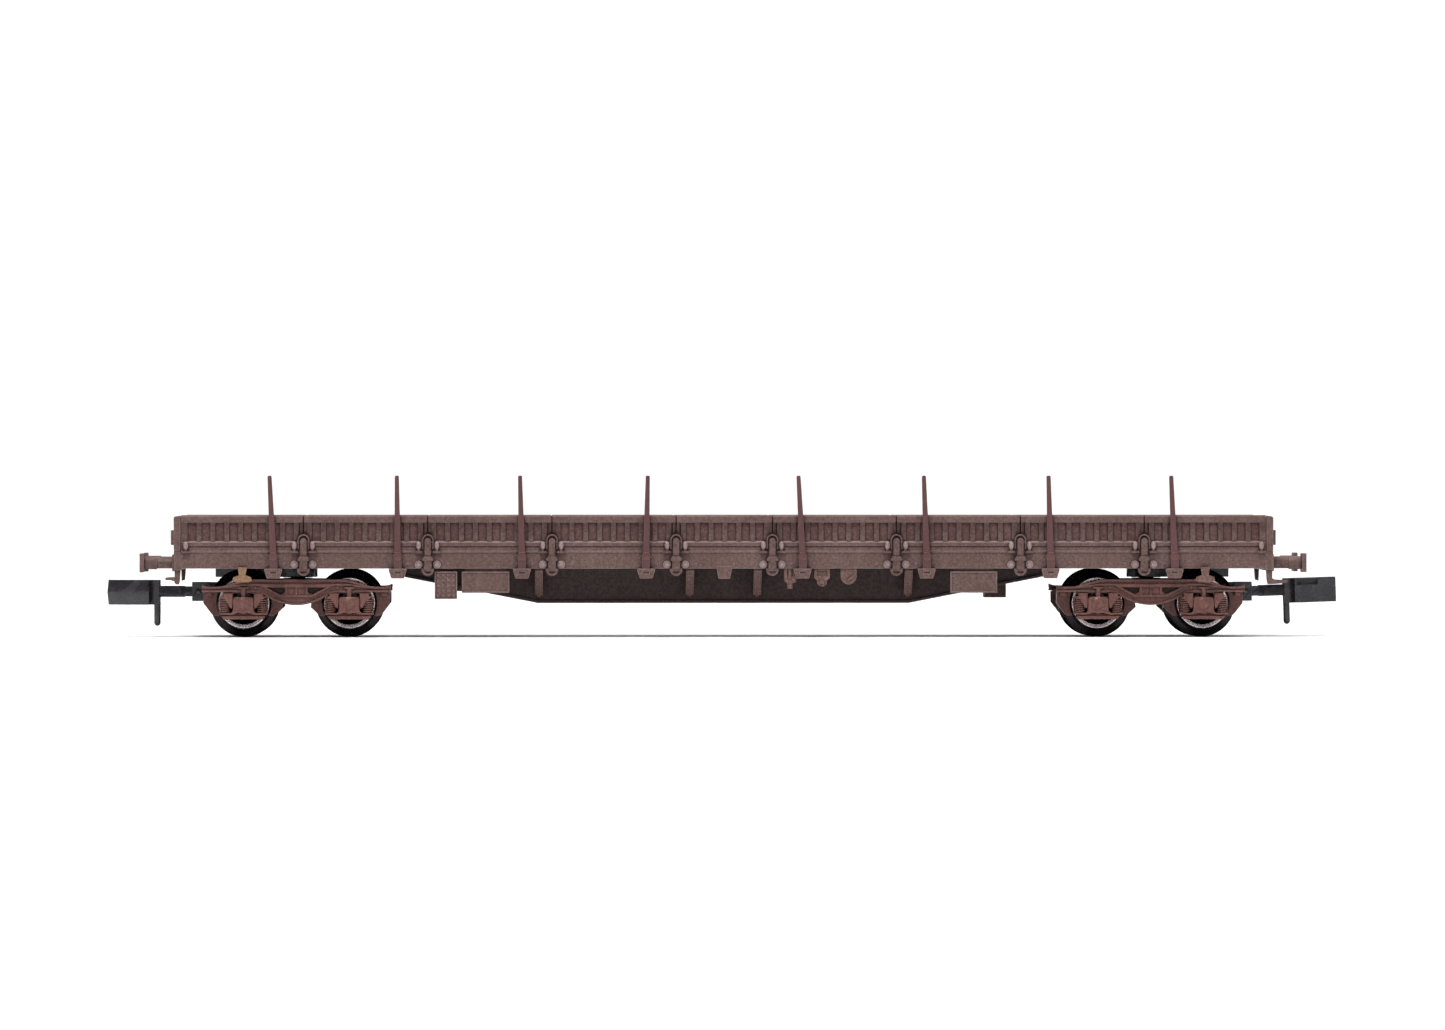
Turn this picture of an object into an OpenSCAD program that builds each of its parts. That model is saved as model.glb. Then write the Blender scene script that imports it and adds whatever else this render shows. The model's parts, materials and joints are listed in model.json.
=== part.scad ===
// Four-axle drop-side stake car in 1:160 on two swivelling bogies.
// +X is the front, +Y the left side, +Z up. Z = 0 is the lowest point of the wheel flanges.
// Heights named "..._h" are measured from the top of the rail, as a track gauge reads them.

/* [Body] */
// Length over the end boards
body_l = 117; // [110:0.1:124]
// Half width at the face of the drop sides
side_face = 8.6; // [8.4:0.05:8.8]
// Height of the bottom edge of the side sill
sill_bottom_h = 6.5; // [6.4:0.05:6.6]
// Height of the top of the side sill
sill_top_h = 8.4; // [8.3:0.05:8.5]
// Height of the loading floor
floor_h = 8.7; // [8.6:0.05:8.9]
// Height of the top edge of the drop sides
side_top_h = 12.2; // [12:0.1:13]
// Width of the middle board of each side
middle_board_l = 10.24; // [10:0.02:11]
// Pitch of the other boards
board_pitch = 13.2; // [13:0.05:13.25]
// Distance between the ribs of a board
rib_pitch = 1.474; // [1.4:0.002:1.5]

/* [Stakes] */
// Height of the stake tops
stake_top_h = 16.4; // [15:0.1:17]
// Distance from a hinge line to the next stake outwards
stake_offset = 3.2; // [3:0.1:3.6]
// Lean of each stake in its pocket, from rear to front, in degrees
stake_lean = [-2.6, -0.5, -1.3, 1.2, -2.9, -2.0, -1.5, -2.4];

/* [Underframe] */
// Half length of the level part of the girders
girder_flat_l = 19.8; // [18:0.1:21]
// Height of the bottom of the girders
girder_bottom_h = 2.78; // [2.7:0.02:3.2]
// Distance of each girder from the middle
girder_y = 3.5; // [3.3:0.1:3.6]

/* [Bogies and wheels] */
// Distance of the bogie pivots from the middle
bogie_x = 45.5; // [45:0.1:46]
// Wheelbase of a bogie
wheelbase = 11.25; // [11.2:0.01:11.3]
// Radius of the wheel tread
tread_r = 2.82; // [2.78:0.01:2.84]
// Depth of the wheel flange below the tread
flange_depth = 0.83; // [0.6:0.01:0.85]
// Distance between the backs of the two wheels of an axle
back_to_back = 7.4; // [7.3:0.05:7.5]
// Running clearance around each axle journal
journal_play = 0.03; // [0.02:0.005:0.05]

/* [Buffers and couplers] */
// Length over the buffer faces
over_buffers = 124.4; // [124:0.1:125]
// Distance of the buffers from the middle
buffer_y = 5.47; // [5.3:0.01:5.6]
// Height of the buffer centres
buffer_h = 7.1; // [7.0:0.05:7.2]
// Distance of the coupler tips from the middle of the car
coupler_tip = 65.9; // [65.5:0.1:66.2]
// How far the front coupler head rests raised, in degrees
front_head_lift = 2; // [0:0.5:3]

/* [Hidden] */
$fn = 48;

body_brown = [0.37, 0.30, 0.28];
stake_brown = [0.36, 0.24, 0.23];
bogie_brown = [0.44, 0.28, 0.26];
coupler_black = [0.10, 0.10, 0.11];
bare_steel = [0.72, 0.70, 0.70];
dark_steel = [0.22, 0.21, 0.22];
pale_plastic = [0.80, 0.78, 0.72];

body_end = body_l / 2;
headstock_t = 0.75;
inner_end = body_end - headstock_t;
deck_half_w = side_face - 0.75;
deck_t = 0.7;
plank_l = 1.15;
sill_face = side_face - 0.1;
sill_inner = side_face - 1.0;
ledge_face = side_face + 0.02;
ledge_t = 0.2;
frame_plate_h = 7.0;
frame_plate_t = 0.3;
ballast_half_l = 36.5;
ballast_half_w = 7.2;

hinge_x = [for (k = [-3.5:1:3.5]) sign(k) * (middle_board_l / 2 + (abs(k) - 0.5) * board_pitch)];
stake_x = [for (x = hinge_x) x + sign(x) * stake_offset];
board_gap = 0.14;
board_ends = concat([-inner_end], hinge_x, [inner_end]);
rib_w = 0.52;
rib_margin = 0.7;
end_strip_w = 0.27;
band_top_h = 9.45;
rib_top_h = 11.4;

axle_h = tread_r;
axle_r = 0.75;
journal_r = 0.4;
journal_end = 7.4;
bush_r = 0.95;
press_gap = 0.005;
wheel_back = back_to_back / 2;
wheel_face = wheel_back + 2.15;
flange_r = tread_r + flange_depth;
axle_x = [bogie_x + wheelbase / 2, bogie_x - wheelbase / 2,
          -bogie_x + wheelbase / 2, -bogie_x - wheelbase / 2];

pivot_r = 0.8;
pivot_play = 0.05;
pivot_pad_h = 5.5;
pivot_pad_r = 1.6;
bolster_half_l = 1.7;
bolster_bottom_h = 3.9;
bolster_top_h = 5.1;
frame_inner = 6.9;
frame_web = [7.05, 7.45];
frame_half_l = 10.05;

link_pivot = 3.9;
link_pin_r = 0.4;
link_play = 0.04;
link_bottom_h = 3.95;
link_top_h = 5.0;
guide_bottom_h = 5.55;
pocket_mouth = 56.8;
head_axis_x = 56.1;
head_axis_h = 4.0;
trunnion_r = 0.3;
head_back = 61.4;
head_low_h = 2.58;
head_high_h = 5.24;
drop_pin_x = 60.55;

// ---------- helpers ----------

function up(h) = flange_depth + h;

// Box between two corners, with its heights measured from the rail
module block(x0, x1, y0, y1, h0, h1)
    translate([x0, y0, up(h0)]) cube([x1 - x0, y1 - y0, h1 - h0]);

// Section drawn as (distance out from the middle, height), run along X on the right-hand side
module right_section(x0, x1)
    translate([x0, 0, up(0)]) rotate([90, 0, 90]) linear_extrude(x1 - x0)
        mirror([1, 0]) children();

// Plate drawn as (x, height), between two distances out on the right-hand side
module right_plate(out0, out1)
    translate([0, -out0, up(0)]) rotate([90, 0, 0]) linear_extrude(out1 - out0) children();

// Plate drawn as (x, y), between two heights
module level_plate(h0, h1)
    translate([0, 0, up(h0)]) linear_extrude(h1 - h0) children();

module upright_rod(x, y, r, h0, h1)
    translate([x, y, up(h0)]) cylinder(r = r, h = h1 - h0);

// Rod across the car, from y0 to y1
module cross_rod(x, h, r, y0, y1)
    translate([x, y1, up(h)]) rotate([90, 0, 0]) cylinder(r = r, h = y1 - y0);

module half_turn() rotate([0, 0, 180]) children();

module both_sides() {
    children();
    mirror([0, 1, 0]) children();
}

module both_ends() {
    children();
    mirror([1, 0, 0]) children();
}

module right_rear_too() {
    children();
    half_turn() children();
}

// ---------- body ----------

// Plank floor; a shallow groove marks each joint between planks
module floor_deck() color(body_brown) {
    groove_w = 0.14;
    groove_d = 0.1;
    half_l = inner_end - 0.05;
    count = floor(half_l / plank_l - 0.6);
    translate([0, deck_half_w, up(0)]) rotate([90, 0, 0]) linear_extrude(2 * deck_half_w)
        polygon(concat(
            [[half_l, floor_h - deck_t], [half_l, floor_h]],
            [for (k = [count:-1:-count - 1], p = [[1, 0], [1, -1], [-1, -1], [-1, 0]])
                [(k + 0.5) * plank_l + p[0] * groove_w / 2, floor_h + p[1] * groove_d]],
            [[-half_l, floor_h], [-half_l, floor_h - deck_t]]));
}

module ballast_weight() color(bare_steel)
    block(-ballast_half_l, ballast_half_l, -ballast_half_w, ballast_half_w,
          frame_plate_h + frame_plate_t, floor_h - deck_t);

// Base plate with the end blocks, the bogie pads and the holes of the pivot screws
module underframe() color(body_brown) difference() {
    union() {
        block(-inner_end, inner_end, -sill_inner, sill_inner,
              frame_plate_h, frame_plate_h + frame_plate_t);
        both_ends() {
            block(ballast_half_l, inner_end, -sill_inner, sill_inner,
                  frame_plate_h, floor_h - deck_t);
            upright_rod(bogie_x, 0, pivot_pad_r, pivot_pad_h, frame_plate_h);
        }
    }
    both_ends() upright_rod(bogie_x, 0, pivot_r + press_gap, pivot_pad_h - 1, floor_h - deck_t + 1);
    both_ends() upright_rod(bogie_x + link_pivot, 0, link_pin_r + press_gap,
                            frame_plate_h - 1, floor_h - deck_t - 0.3);
}

// End sill with a coupling-hook pad and two buffer bases
module headstock() color(body_brown) {
    block(inner_end, body_end, -sill_face, sill_face, 6.33, sill_top_h);
    block(body_end, body_end + 0.25, -0.8, 0.8, 6.6, 7.9);
}
module headstock_front() headstock();
module headstock_rear() half_turn() headstock();

// Channel-section side sill with a small ledge under the boards and rivets on its face
module side_sill() color(body_brown) {
    right_section(-inner_end, inner_end) {
        translate([sill_face - 0.4, sill_bottom_h]) square([0.4, sill_top_h - sill_bottom_h]);
        translate([sill_inner, sill_bottom_h]) square([sill_face - sill_inner, 0.25]);
        translate([deck_half_w, sill_top_h - ledge_t]) square([ledge_face - deck_half_w, ledge_t]);
    }
    for (x = hinge_x, d = [-2.1, 2.1])
        cross_rod(x + d, 7.0, 0.17, -sill_face - 0.08, -sill_face + 0.1);
    right_plate(sill_face - 0.3, sill_face + 0.1)
        polygon([[-0.8, sill_bottom_h + 0.3], [0.8, sill_bottom_h + 0.3],
                 [0.8, 6.4], [0.6, 5.42], [-0.6, 5.42], [-0.8, 6.4]]);
}
module side_sill_right() side_sill();
module side_sill_left() half_turn() side_sill();

// Outline of a girder: level in the middle, rising to the frame plate at both ends
girder_rise = [[girder_flat_l, girder_bottom_h], [33.9, 5.54], [35.4, frame_plate_h]];
module girder_outline() polygon(concat(
    girder_rise, [for (k = [2:-1:0]) [-girder_rise[k][0], girder_rise[k][1]]]));

module girder() color(body_brown) {
    right_plate(girder_y - 0.2, girder_y + 0.2) girder_outline();
    right_plate(girder_y - 0.6, girder_y + 0.6) difference() {
        girder_outline();
        translate([0, 0.28]) girder_outline();
        translate([-40, frame_plate_h - 0.9]) square([80, 2]);
    }
}
module girder_right() girder();
module girder_left() half_turn() girder();

// Plates between the girders and tapered brackets from each girder out to the sill
module cross_bearers() color(body_brown) {
    bearer_x = [-19.7, -3.6, 3.6, 19.7];
    inner_y = girder_y - 0.2 - press_gap;
    outer_y = girder_y + 0.2 + press_gap;
    for (x = bearer_x) {
        block(x - 0.2, x + 0.2, -inner_y, inner_y, 3.3, frame_plate_h);
        both_sides() right_section(x - 0.2, x + 0.2)
            polygon([[outer_y, 3.3], [outer_y, frame_plate_h], [sill_inner, frame_plate_h],
                     [sill_inner, 6.2]]);
        both_sides() right_section(x - 0.42, x + 0.42)
            polygon([[girder_y + 0.6, 3.62], [girder_y + 0.6, 3.92],
                     [sill_inner, 6.5], [sill_inner, 6.2]]);
    }
}

// Rib between x0 and x1, standing proud of the field behind it
module rib(x0, x1, field)
    block(x0, x1, -(side_face - 0.04), -(field - 0.1), band_top_h, rib_top_h + 0.05);

// One board between x0 and x1: lower band with a groove, ribbed field, rounded top rail.
module drop_board(x0, x1) {
    inner = deck_half_w;
    field = side_face - 0.27;
    edge_w = 0.18;
    rail_face = side_face + 0.05;
    rail_r = 0.25;
    right_section(x0, x1) {
        translate([inner, sill_top_h]) square([field - inner, 3.4]);
        difference() {
            polygon([[inner, sill_top_h], [side_face, sill_top_h],
                     [side_face, band_top_h - edge_w], [side_face - edge_w, band_top_h],
                     [inner, band_top_h + 0.05]]);
            translate([side_face - 0.09, 8.75]) square([1, 0.13]);
        }
        for (out = [inner + rail_r, rail_face - rail_r])
            translate([out, side_top_h - rail_r]) circle(r = rail_r, $fn = 24);
        translate([inner + rail_r, side_top_h - 0.85])
            square([rail_face - inner - 2 * rail_r, 0.85]);
        translate([inner, side_top_h - 0.8]) square([rail_face - inner, 0.8 - rail_r]);
    }
    // the ribs are set out from the hinge that is nearer to the middle of the car
    outward = x0 + x1 < -1 ? -1 : 1;
    start = outward > 0 ? x0 : x1;
    for (k = [0:round((x1 - x0 - 2 * rib_margin) / rib_pitch)]) {
        x = start + outward * (rib_margin + k * rib_pitch);
        rib(x - rib_w / 2, x + rib_w / 2, field);
    }
    rib(x0, x0 + end_strip_w, field);
    rib(x1 - end_strip_w, x1, field);
}

// One side is a single moulding: a thin back plate joins the boards across the grooves.
module drop_side_row() color(body_brown) {
    row_end = inner_end - board_gap / 2;
    back_t = 0.24;
    right_section(-row_end, row_end)
        translate([deck_half_w + 0.06, sill_top_h])
            square([back_t, side_top_h - 0.1 - sill_top_h]);
    for (k = [0:8])
        drop_board(board_ends[k] + board_gap / 2, board_ends[k + 1] - board_gap / 2);
}
module drop_sides_right() drop_side_row();
module drop_sides_left() half_turn() drop_side_row();

// Hinge post under its eye, with a clamp block, a half-round foot and the round bolts beside it
module hinge_post(x) translate([x, 0, 0]) {
    eye_h = 9.54;
    post_r = 0.33;
    post_face = 9.05;
    right_section(-post_r, post_r)
        polygon([[sill_face, 6.4], [post_face - 0.05, 6.4], [post_face, 9.44], [ledge_face, 9.44],
                 [ledge_face, sill_top_h - ledge_t], [sill_face, sill_top_h - ledge_t]]);
    right_plate(ledge_face, post_face) translate([0, 9.44]) circle(r = post_r, $fn = 32);
    right_plate(ledge_face, 8.84) difference() {
        union() {
            translate([0, eye_h]) circle(r = 0.63, $fn = 32);
            translate([-0.63, 8.6]) square([1.26, eye_h - 8.6]);
        }
        translate([0, eye_h]) circle(r = 0.46, $fn = 32);
        translate([-0.46, 8]) square([0.92, eye_h - 8]);
    }
    right_plate(sill_face, 9.2)
        polygon([[-0.6, 7.33], [0.6, 7.33], [0.6, 7.5], [0.42, 7.81], [-0.42, 7.81],
                 [-0.6, 7.5]]);
    right_plate(sill_face, post_face - 0.05) translate([-0.42, 6.4]) square([0.84, 1]);
    difference() {
        right_plate(sill_face - 0.2, 8.95) intersection() {
            translate([0, 6.38]) circle(r = 0.66, $fn = 32);
            translate([-1, 5]) square([2, sill_bottom_h - 5]);
        }
        right_plate(8.8, post_face + 0.15) intersection() {
            translate([0, 6.38]) circle(r = 0.42, $fn = 32);
            translate([-1, 5]) square([2, 1.22]);
        }
    }
    for (d = [-0.97, 0.97]) {
        cross_rod(d, 6.94, 0.42, -(sill_face + 0.18), -sill_face);
        cross_rod(d, 6.94, 0.24, -(sill_face + 0.34), -sill_face);
    }
}

module hinge_post_row() color(body_brown) for (x = hinge_x) hinge_post(x);
module hinge_posts_right() hinge_post_row();
module hinge_posts_left() half_turn() hinge_post_row();

// Locking latch: a small barrel handle over a flat foot
module latch(x) {
    barrel_r = 0.27;
    barrel_half_l = 0.42;
    translate([x, -(side_face + barrel_r - 0.03), up(8.97)]) rotate_extrude($fn = 32)
        polygon([[0, -barrel_half_l], [0.1, -barrel_half_l], [0.22, -0.28], [barrel_r, -0.1],
                 [barrel_r, 0.1], [0.22, 0.28], [0.1, barrel_half_l], [0, barrel_half_l]]);
    block(x - 0.12, x + 0.12, -(side_face + 0.3), -side_face, 8.32, 8.8);
    block(x - 0.4, x + 0.4, -(side_face + 0.32), -ledge_face, 8.14, 8.36);
}

module latch_row() color(body_brown) {
    for (x = hinge_x, d = [-0.97, 0.97]) latch(x + d);
    for (s = [-1, 1]) latch(s * (inner_end - 0.55));
}
module latch_handles_right() latch_row();
module latch_handles_left() half_turn() latch_row();

module corner_posts() color(body_brown) both_ends() both_sides()
    right_plate(deck_half_w, side_face) polygon([
        [inner_end + 0.01, sill_top_h], [body_end, sill_top_h], [body_end, side_top_h - 0.25],
        [body_end - 0.15, side_top_h - 0.14], [inner_end + 0.01, side_top_h - 0.05]]);

// End board with ribs outside, and the two knobs of its catches
module end_board() color(body_brown) {
    half_w = deck_half_w - 0.03;
    block(inner_end, body_end - 0.3, -half_w, half_w, sill_top_h, 11.9);
    block(inner_end, body_end - 0.05, -half_w, half_w, 11.2, 11.95);
    block(inner_end, body_end - 0.05, -half_w, half_w, sill_top_h, 9.3);
    for (y = [-6:1.5:6])
        block(inner_end, body_end - 0.1, y - 0.26, y + 0.26, 9.2, 11.3);
    both_sides() block(body_end - 0.2, body_end + 0.35, 7.1, 7.5, 9.0, 10.6);
}
module end_board_front() end_board();
module end_board_rear() half_turn() end_board();

// Pocket under the sill that takes the foot of a stake
module stake_pocket(x) difference() {
    right_plate(sill_face - 0.05, 9.33)
        polygon([[x - 0.94, sill_bottom_h], [x - 0.94, 6.3], [x - 0.68, 5.46],
                 [x + 0.68, 5.46], [x + 0.94, 6.3], [x + 0.94, sill_bottom_h]]);
    block(x - 0.55, x + 0.55, -9.23, -8.73, 5.75, 7);
    block(x - 0.32, x + 0.32, -9.5, -8.73, 5.98, 6.2);
}
module stake_pocket_row() color(body_brown) for (x = stake_x) stake_pocket(x);
module stake_pockets_right() stake_pocket_row();
module stake_pockets_left() half_turn() stake_pocket_row();

// Round-tipped stake with a boss at sill height, leaning in its pocket by a few degrees
module stake(lean) {
    foot_h = 5.85;
    boss_h = 7.8;
    translate([0, 0, up(boss_h)]) rotate([0, lean, 0]) translate([0, 0, -up(boss_h)]) {
        right_plate(8.78, 9.18)
            polygon([[-0.4, foot_h], [0.4, foot_h], [0.42, 7.5], [0.34, 8.3], [0.25, side_top_h],
                     [0.22, stake_top_h - 0.1], [0.12, stake_top_h], [-0.12, stake_top_h],
                     [-0.22, stake_top_h - 0.1], [-0.25, side_top_h], [-0.34, 8.3],
                     [-0.42, 7.5]]);
        cross_rod(0, boss_h, 0.46, -9.28, -8.78);
    }
}
module stakes() color(stake_brown)
    for (k = [0:7]) translate([stake_x[k], 0, 0]) stake(stake_lean[k]);

// ---------- buffers and fittings ----------

module buffer_casings() color(body_brown) both_ends() both_sides()
    translate([body_end, -buffer_y, up(buffer_h)]) rotate([0, 90, 0]) difference() {
        union() {
            translate([-0.9, -0.95, 0]) cube([1.8, 1.9, 0.25]);
            cylinder(r = 0.61, h = 1.85);
        }
        translate([0, 0, 0.6]) cylinder(r = 0.35 + press_gap, h = 2);
    }

// Plunger sleeve with its stem in the casing and a rectangular head
module buffer_plungers() color(body_brown) both_ends() both_sides()
    translate([0, -buffer_y, up(buffer_h)]) {
        face = over_buffers / 2;
        head_t = 0.45;
        translate([body_end + 0.65, 0, 0]) rotate([0, 90, 0]) cylinder(r = 0.35, h = 2);
        translate([body_end + 1.85, 0, 0]) rotate([0, 90, 0])
            cylinder(r = 0.7, h = face - head_t - body_end - 1.8);
        translate([face - head_t, -1.4, -1.02]) cube([head_t, 2.8, 2.04]);
    }

// Flat board with a raised rim
module label_board(x0, x1) {
    rim = 0.16;
    right_plate(8.15, 8.35) translate([x0, 3.92]) square([x1 - x0, 2.27]);
    right_plate(8.3, 8.45) difference() {
        translate([x0, 3.92]) square([x1 - x0, 2.27]);
        translate([x0 + rim, 3.92 + rim]) square([x1 - x0 - 2 * rim, 2.27 - 2 * rim]);
    }
    block(x0 + 0.4, x1 - 0.4, -8.2, -7.9, 5.6, sill_bottom_h);
}

// The two boards of each side; a half turn puts the second pair on the left
module label_boards() color(body_brown) right_rear_too() {
    label_board(-27.9, -22.85);
    label_board(24.07, 29.06);
}

// Brake-gear box with a studded cover
module brake_boxes() color(body_brown) right_rear_too() {
    x0 = -30.8;
    x1 = -28.4;
    block(x0, x1, -8.3, -6.2, 3.25, 6.19);
    block(x0 + 0.3, x1 - 0.3, -7.9, -7.0, 6.1, sill_bottom_h);
    for (col = [0:3], row = [0:4])
        block(x0 + 0.25 + 0.55 * col, x0 + 0.5 + 0.55 * col, -8.4, -8.2,
              3.5 + 0.54 * row, 3.72 + 0.54 * row);
    right_plate(8.2, 8.4) difference() {
        translate([x0, 3.25]) square([x1 - x0, 2.94]);
        translate([x0 + 0.12, 3.37]) square([x1 - x0 - 0.24, 2.7]);
    }
}

// Three small handles of the brake changeover, hung under the sill
module brake_levers() color(body_brown) right_rear_too() {
    // fluted valve body with a stem
    for (x = [6.55, 7.0, 7.45])
        block(x - 0.16, x + 0.16, -8.4, -7.9, 5.45, sill_bottom_h);
    block(6.4, 7.6, -8.2, -7.8, 5.4, sill_bottom_h);
    cross_rod(6.75, 5.33, 0.36, -8.35, -7.75);
    cross_rod(7.3, 5.3, 0.36, -8.35, -7.75);
    upright_rod(7.0, -8.05, 0.28, 4.35, 5.4);
    // bracket with a round eye
    right_plate(7.8, 8.3) {
        difference() {
            polygon([[9.6, sill_bottom_h], [11.25, sill_bottom_h], [11.25, 5.5], [10.9, 5.2],
                     [9.95, 5.2], [9.6, 5.5]]);
            translate([9.85, 5.75]) square([1.15, 0.5]);
        }
        translate([10.42, 5.1]) circle(r = 0.52, $fn = 32);
    }
    right_plate(7.9, 8.15) translate([9.8, 5.6]) square([1.3, 0.8]);
    cross_rod(10.42, 5.1, 0.25, -8.5, -8.2);
    // rounded bracket with a short lever
    right_plate(7.8, 8.3) {
        translate([12.4, 5.6]) square([1.7, sill_bottom_h - 5.6]);
        translate([13.25, 5.65]) circle(r = 0.84, $fn = 32);
    }
    translate([13.25, -8.3, up(5.35)]) rotate([0, -40, 0])
        translate([-0.1, -0.2, -0.15]) cube([0.8, 0.25, 0.22]);
}

// Towing hook below the sill, over the outer axle of each bogie
module rope_hooks() color(body_brown) both_ends() both_sides() {
    right_plate(8.7, 9.2) polygon([
        [50.72, 6.65], [51.68, 6.65], [51.55, 5.8], [52.15, 5.6], [52.25, 5.25],
        [51.9, 5.06], [50.5, 5.06], [50.15, 5.25], [50.3, 5.6], [50.85, 5.8]]);
    block(50.75, 51.6, -8.75, -sill_face, 6.2, 6.65);
}

// Shunter's steps: a leg at each corner; on the right-hand side each has a toe outwards
module end_steps() color(body_brown) {
    leg_h = [4.82, 6.33];
    leg_x = [body_end - 0.72, body_end - 0.08];
    both_ends() right_plate(7.3, 8.2) polygon([
        [leg_x[0], leg_h[1]], [leg_x[1], leg_h[1]], [leg_x[1], leg_h[0] + 0.2],
        [leg_x[1] - 0.15, leg_h[0]], [leg_x[0] + 0.2, leg_h[0]], [leg_x[0] + 0.1, leg_h[0] + 0.3]]);
    right_plate(7.3, 8.2) polygon([
        [leg_x[1] - 0.2, leg_h[0]], [leg_x[1] + 1.0, leg_h[0] + 0.08], [leg_x[1] + 1.6, 5.02],
        [leg_x[1] + 1.6, 5.26], [leg_x[1] + 0.25, 5.34], [leg_x[1] - 0.1, 5.5]]);
    mirror([1, 0, 0]) right_plate(7.3, 8.2) polygon([
        [leg_x[1] - 0.1, 5.1], [leg_x[1] + 0.4, 5.27], [leg_x[1] + 0.98, 5.27],
        [leg_x[1] + 0.98, 5.56], [leg_x[1] - 0.1, 5.62]]);
    both_ends() mirror([0, 1, 0]) right_plate(7.3, 8.2) polygon([
        [leg_x[0], leg_h[1]], [leg_x[0] + 0.5, leg_h[1]], [leg_x[0] + 0.45, 5.05],
        [leg_x[0] + 0.1, 5.15]]);
}

// ---------- bogie pivots and coupler mounts ----------

// Black slide above the coupler link: a ring round the bogie pad and a tapered tongue
module coupler_guide() color(coupler_black) difference() {
    level_plate(guide_bottom_h, frame_plate_h) difference() {
        union() {
            translate([bogie_x, 0]) circle(r = 2.1);
            polygon([[bogie_x, -2.1], [bogie_x + 2.5, -2.4], [bogie_x + 8.8, -1.2],
                     [bogie_x + 8.8, 1.2], [bogie_x + 2.5, 2.4], [bogie_x, 2.1]]);
        }
        translate([bogie_x, 0]) circle(r = pivot_pad_r + press_gap);
    }
    upright_rod(bogie_x + link_pivot, 0, link_pin_r + press_gap, 5, 8);
}
module coupler_guide_front() coupler_guide();
module coupler_guide_rear() half_turn() coupler_guide();

module pivot_screw() color(dark_steel) {
    difference() {
        upright_rod(bogie_x, 0, 1.35, 3.25, bolster_bottom_h - 0.06);
        block(bogie_x - 2, bogie_x + 2, -0.15, 0.15, 3, 3.5);
    }
    upright_rod(bogie_x, 0, pivot_r, 3.5, floor_h - deck_t - 0.1);
}
module pivot_screw_front() pivot_screw();
module pivot_screw_rear() half_turn() pivot_screw();

// ---------- bogies ----------

// Fishbelly outline of the side frame below the top flange
function belly_h(x) = 2.6 + 0.094 * x * x;

// Height of the top of the flange: level in the middle, falling in an S towards the ends
function flange_h(x) = 5.34 - 0.82 * sin(90 * max(0, min(1, (abs(x) - 4.6) / 4.3))) ^ 2;
flange_x = concat([for (k = [0:10]) 4.6 + 0.43 * k], [9.5, frame_half_l]);
flange_top = concat([for (k = [0:10]) flange_h(flange_x[k])], [4.62, 4.8]);
flange_t = 0.36;
module frame_outline() polygon(concat(
    [for (x = [-3.6:0.4:3.61]) [x, belly_h(x)]],
    [[3.9, 4.0], [frame_half_l, 4.05], [frame_half_l, 4.55], [8.9, 4.35], [4.6, 5.0],
     [-4.6, 5.0], [-8.9, 4.35], [-frame_half_l, 4.55], [-frame_half_l, 4.05], [-3.9, 4.0]]));

module frame_window() polygon([[-3.35, 4.5], [3.35, 4.5], [1.65, 3.66], [-1.65, 3.66]]);

// Axlebox with its stop, springs and lower yoke, centred on x = 0
module axlebox() {
    spring_x = 2.02;
    spring_r = 0.62;
    spring_core_r = 0.42;
    spring_low_h = 1.72;
    coil_pitch = 0.237;
    // box body with a shallow crown and a flared foot, and the round cover
    right_plate(frame_inner, 7.95) intersection() {
        translate([0, 1.3]) circle(r = 2.2, $fn = 64);
        polygon([[-1.35, 1.75], [-1.1, 2.1], [-1.1, 3.75], [1.1, 3.75], [1.1, 2.1], [1.35, 1.75]]);
    }
    cross_rod(0, 2.78, 0.75, -8.15, -7.9);
    // guide plate with two openings and the stop between them
    right_plate(frame_web[0], 7.5) difference() {
        translate([-2.15, 3.2]) square([4.3, 0.9]);
        for (s = [-1, 1]) translate([s * 0.67 - 0.42, 3.48]) square([0.84, 0.4]);
    }
    right_plate(frame_web[0], 7.8) {
        translate([-0.2, 3.3]) square([0.4, 1.1]);
        translate([-0.53, 4.34]) square([1.06, 0.2]);
    }
    for (s = [-1, 1]) {
        // coil spring between the yoke and its cap
        translate([s * spring_x, -7.42, up(0)]) rotate_extrude($fn = 32) polygon(concat(
            [[0, 1.3], [spring_core_r, 1.3]],
            [for (k = [0:6], p = [[0, 0], [1, 0.06], [1, 0.16], [0, 0.22]])
                [spring_core_r + p[0] * (spring_r - spring_core_r),
                 spring_low_h + coil_pitch * k + p[1]]],
            [[spring_core_r, 3.4], [0.55, 3.4], [0.55, 3.52], [0, 3.52]]));
        // slanting damper link in front of the spring
        mirror([s < 0 ? 1 : 0, 0, 0]) right_plate(7.45, 8.0)
            polygon([[1.15, 3.85], [2.1, 3.85], [2.1, 3.3], [1.75, 2.9], [1.45, 2.35],
                     [1.2, 2.25], [1.12, 2.9]]);
    }
    // yoke: wavy upper strap, lower bar and the thinner plate between them
    right_plate(frame_inner, 8.0) polygon([
        [-2.6, 1.62], [-1.4, 1.56], [-0.9, 1.68], [-0.5, 1.8], [0, 1.65], [0.5, 1.8],
        [0.9, 1.68], [1.4, 1.56], [2.6, 1.62], [2.6, 1.82], [1.4, 1.76], [0.9, 1.88],
        [0.5, 2.0], [0, 1.85], [-0.5, 2.0], [-0.9, 1.88], [-1.4, 1.76], [-2.6, 1.82]]);
    right_plate(frame_inner, 7.9) polygon([[-2.1, 1.1], [2.1, 1.1], [2.3, 1.45], [-2.3, 1.45]]);
    right_plate(frame_inner, 7.6) polygon([[-2.2, 1.3], [2.2, 1.3], [2.45, 1.7], [-2.45, 1.7]]);
}

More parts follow.
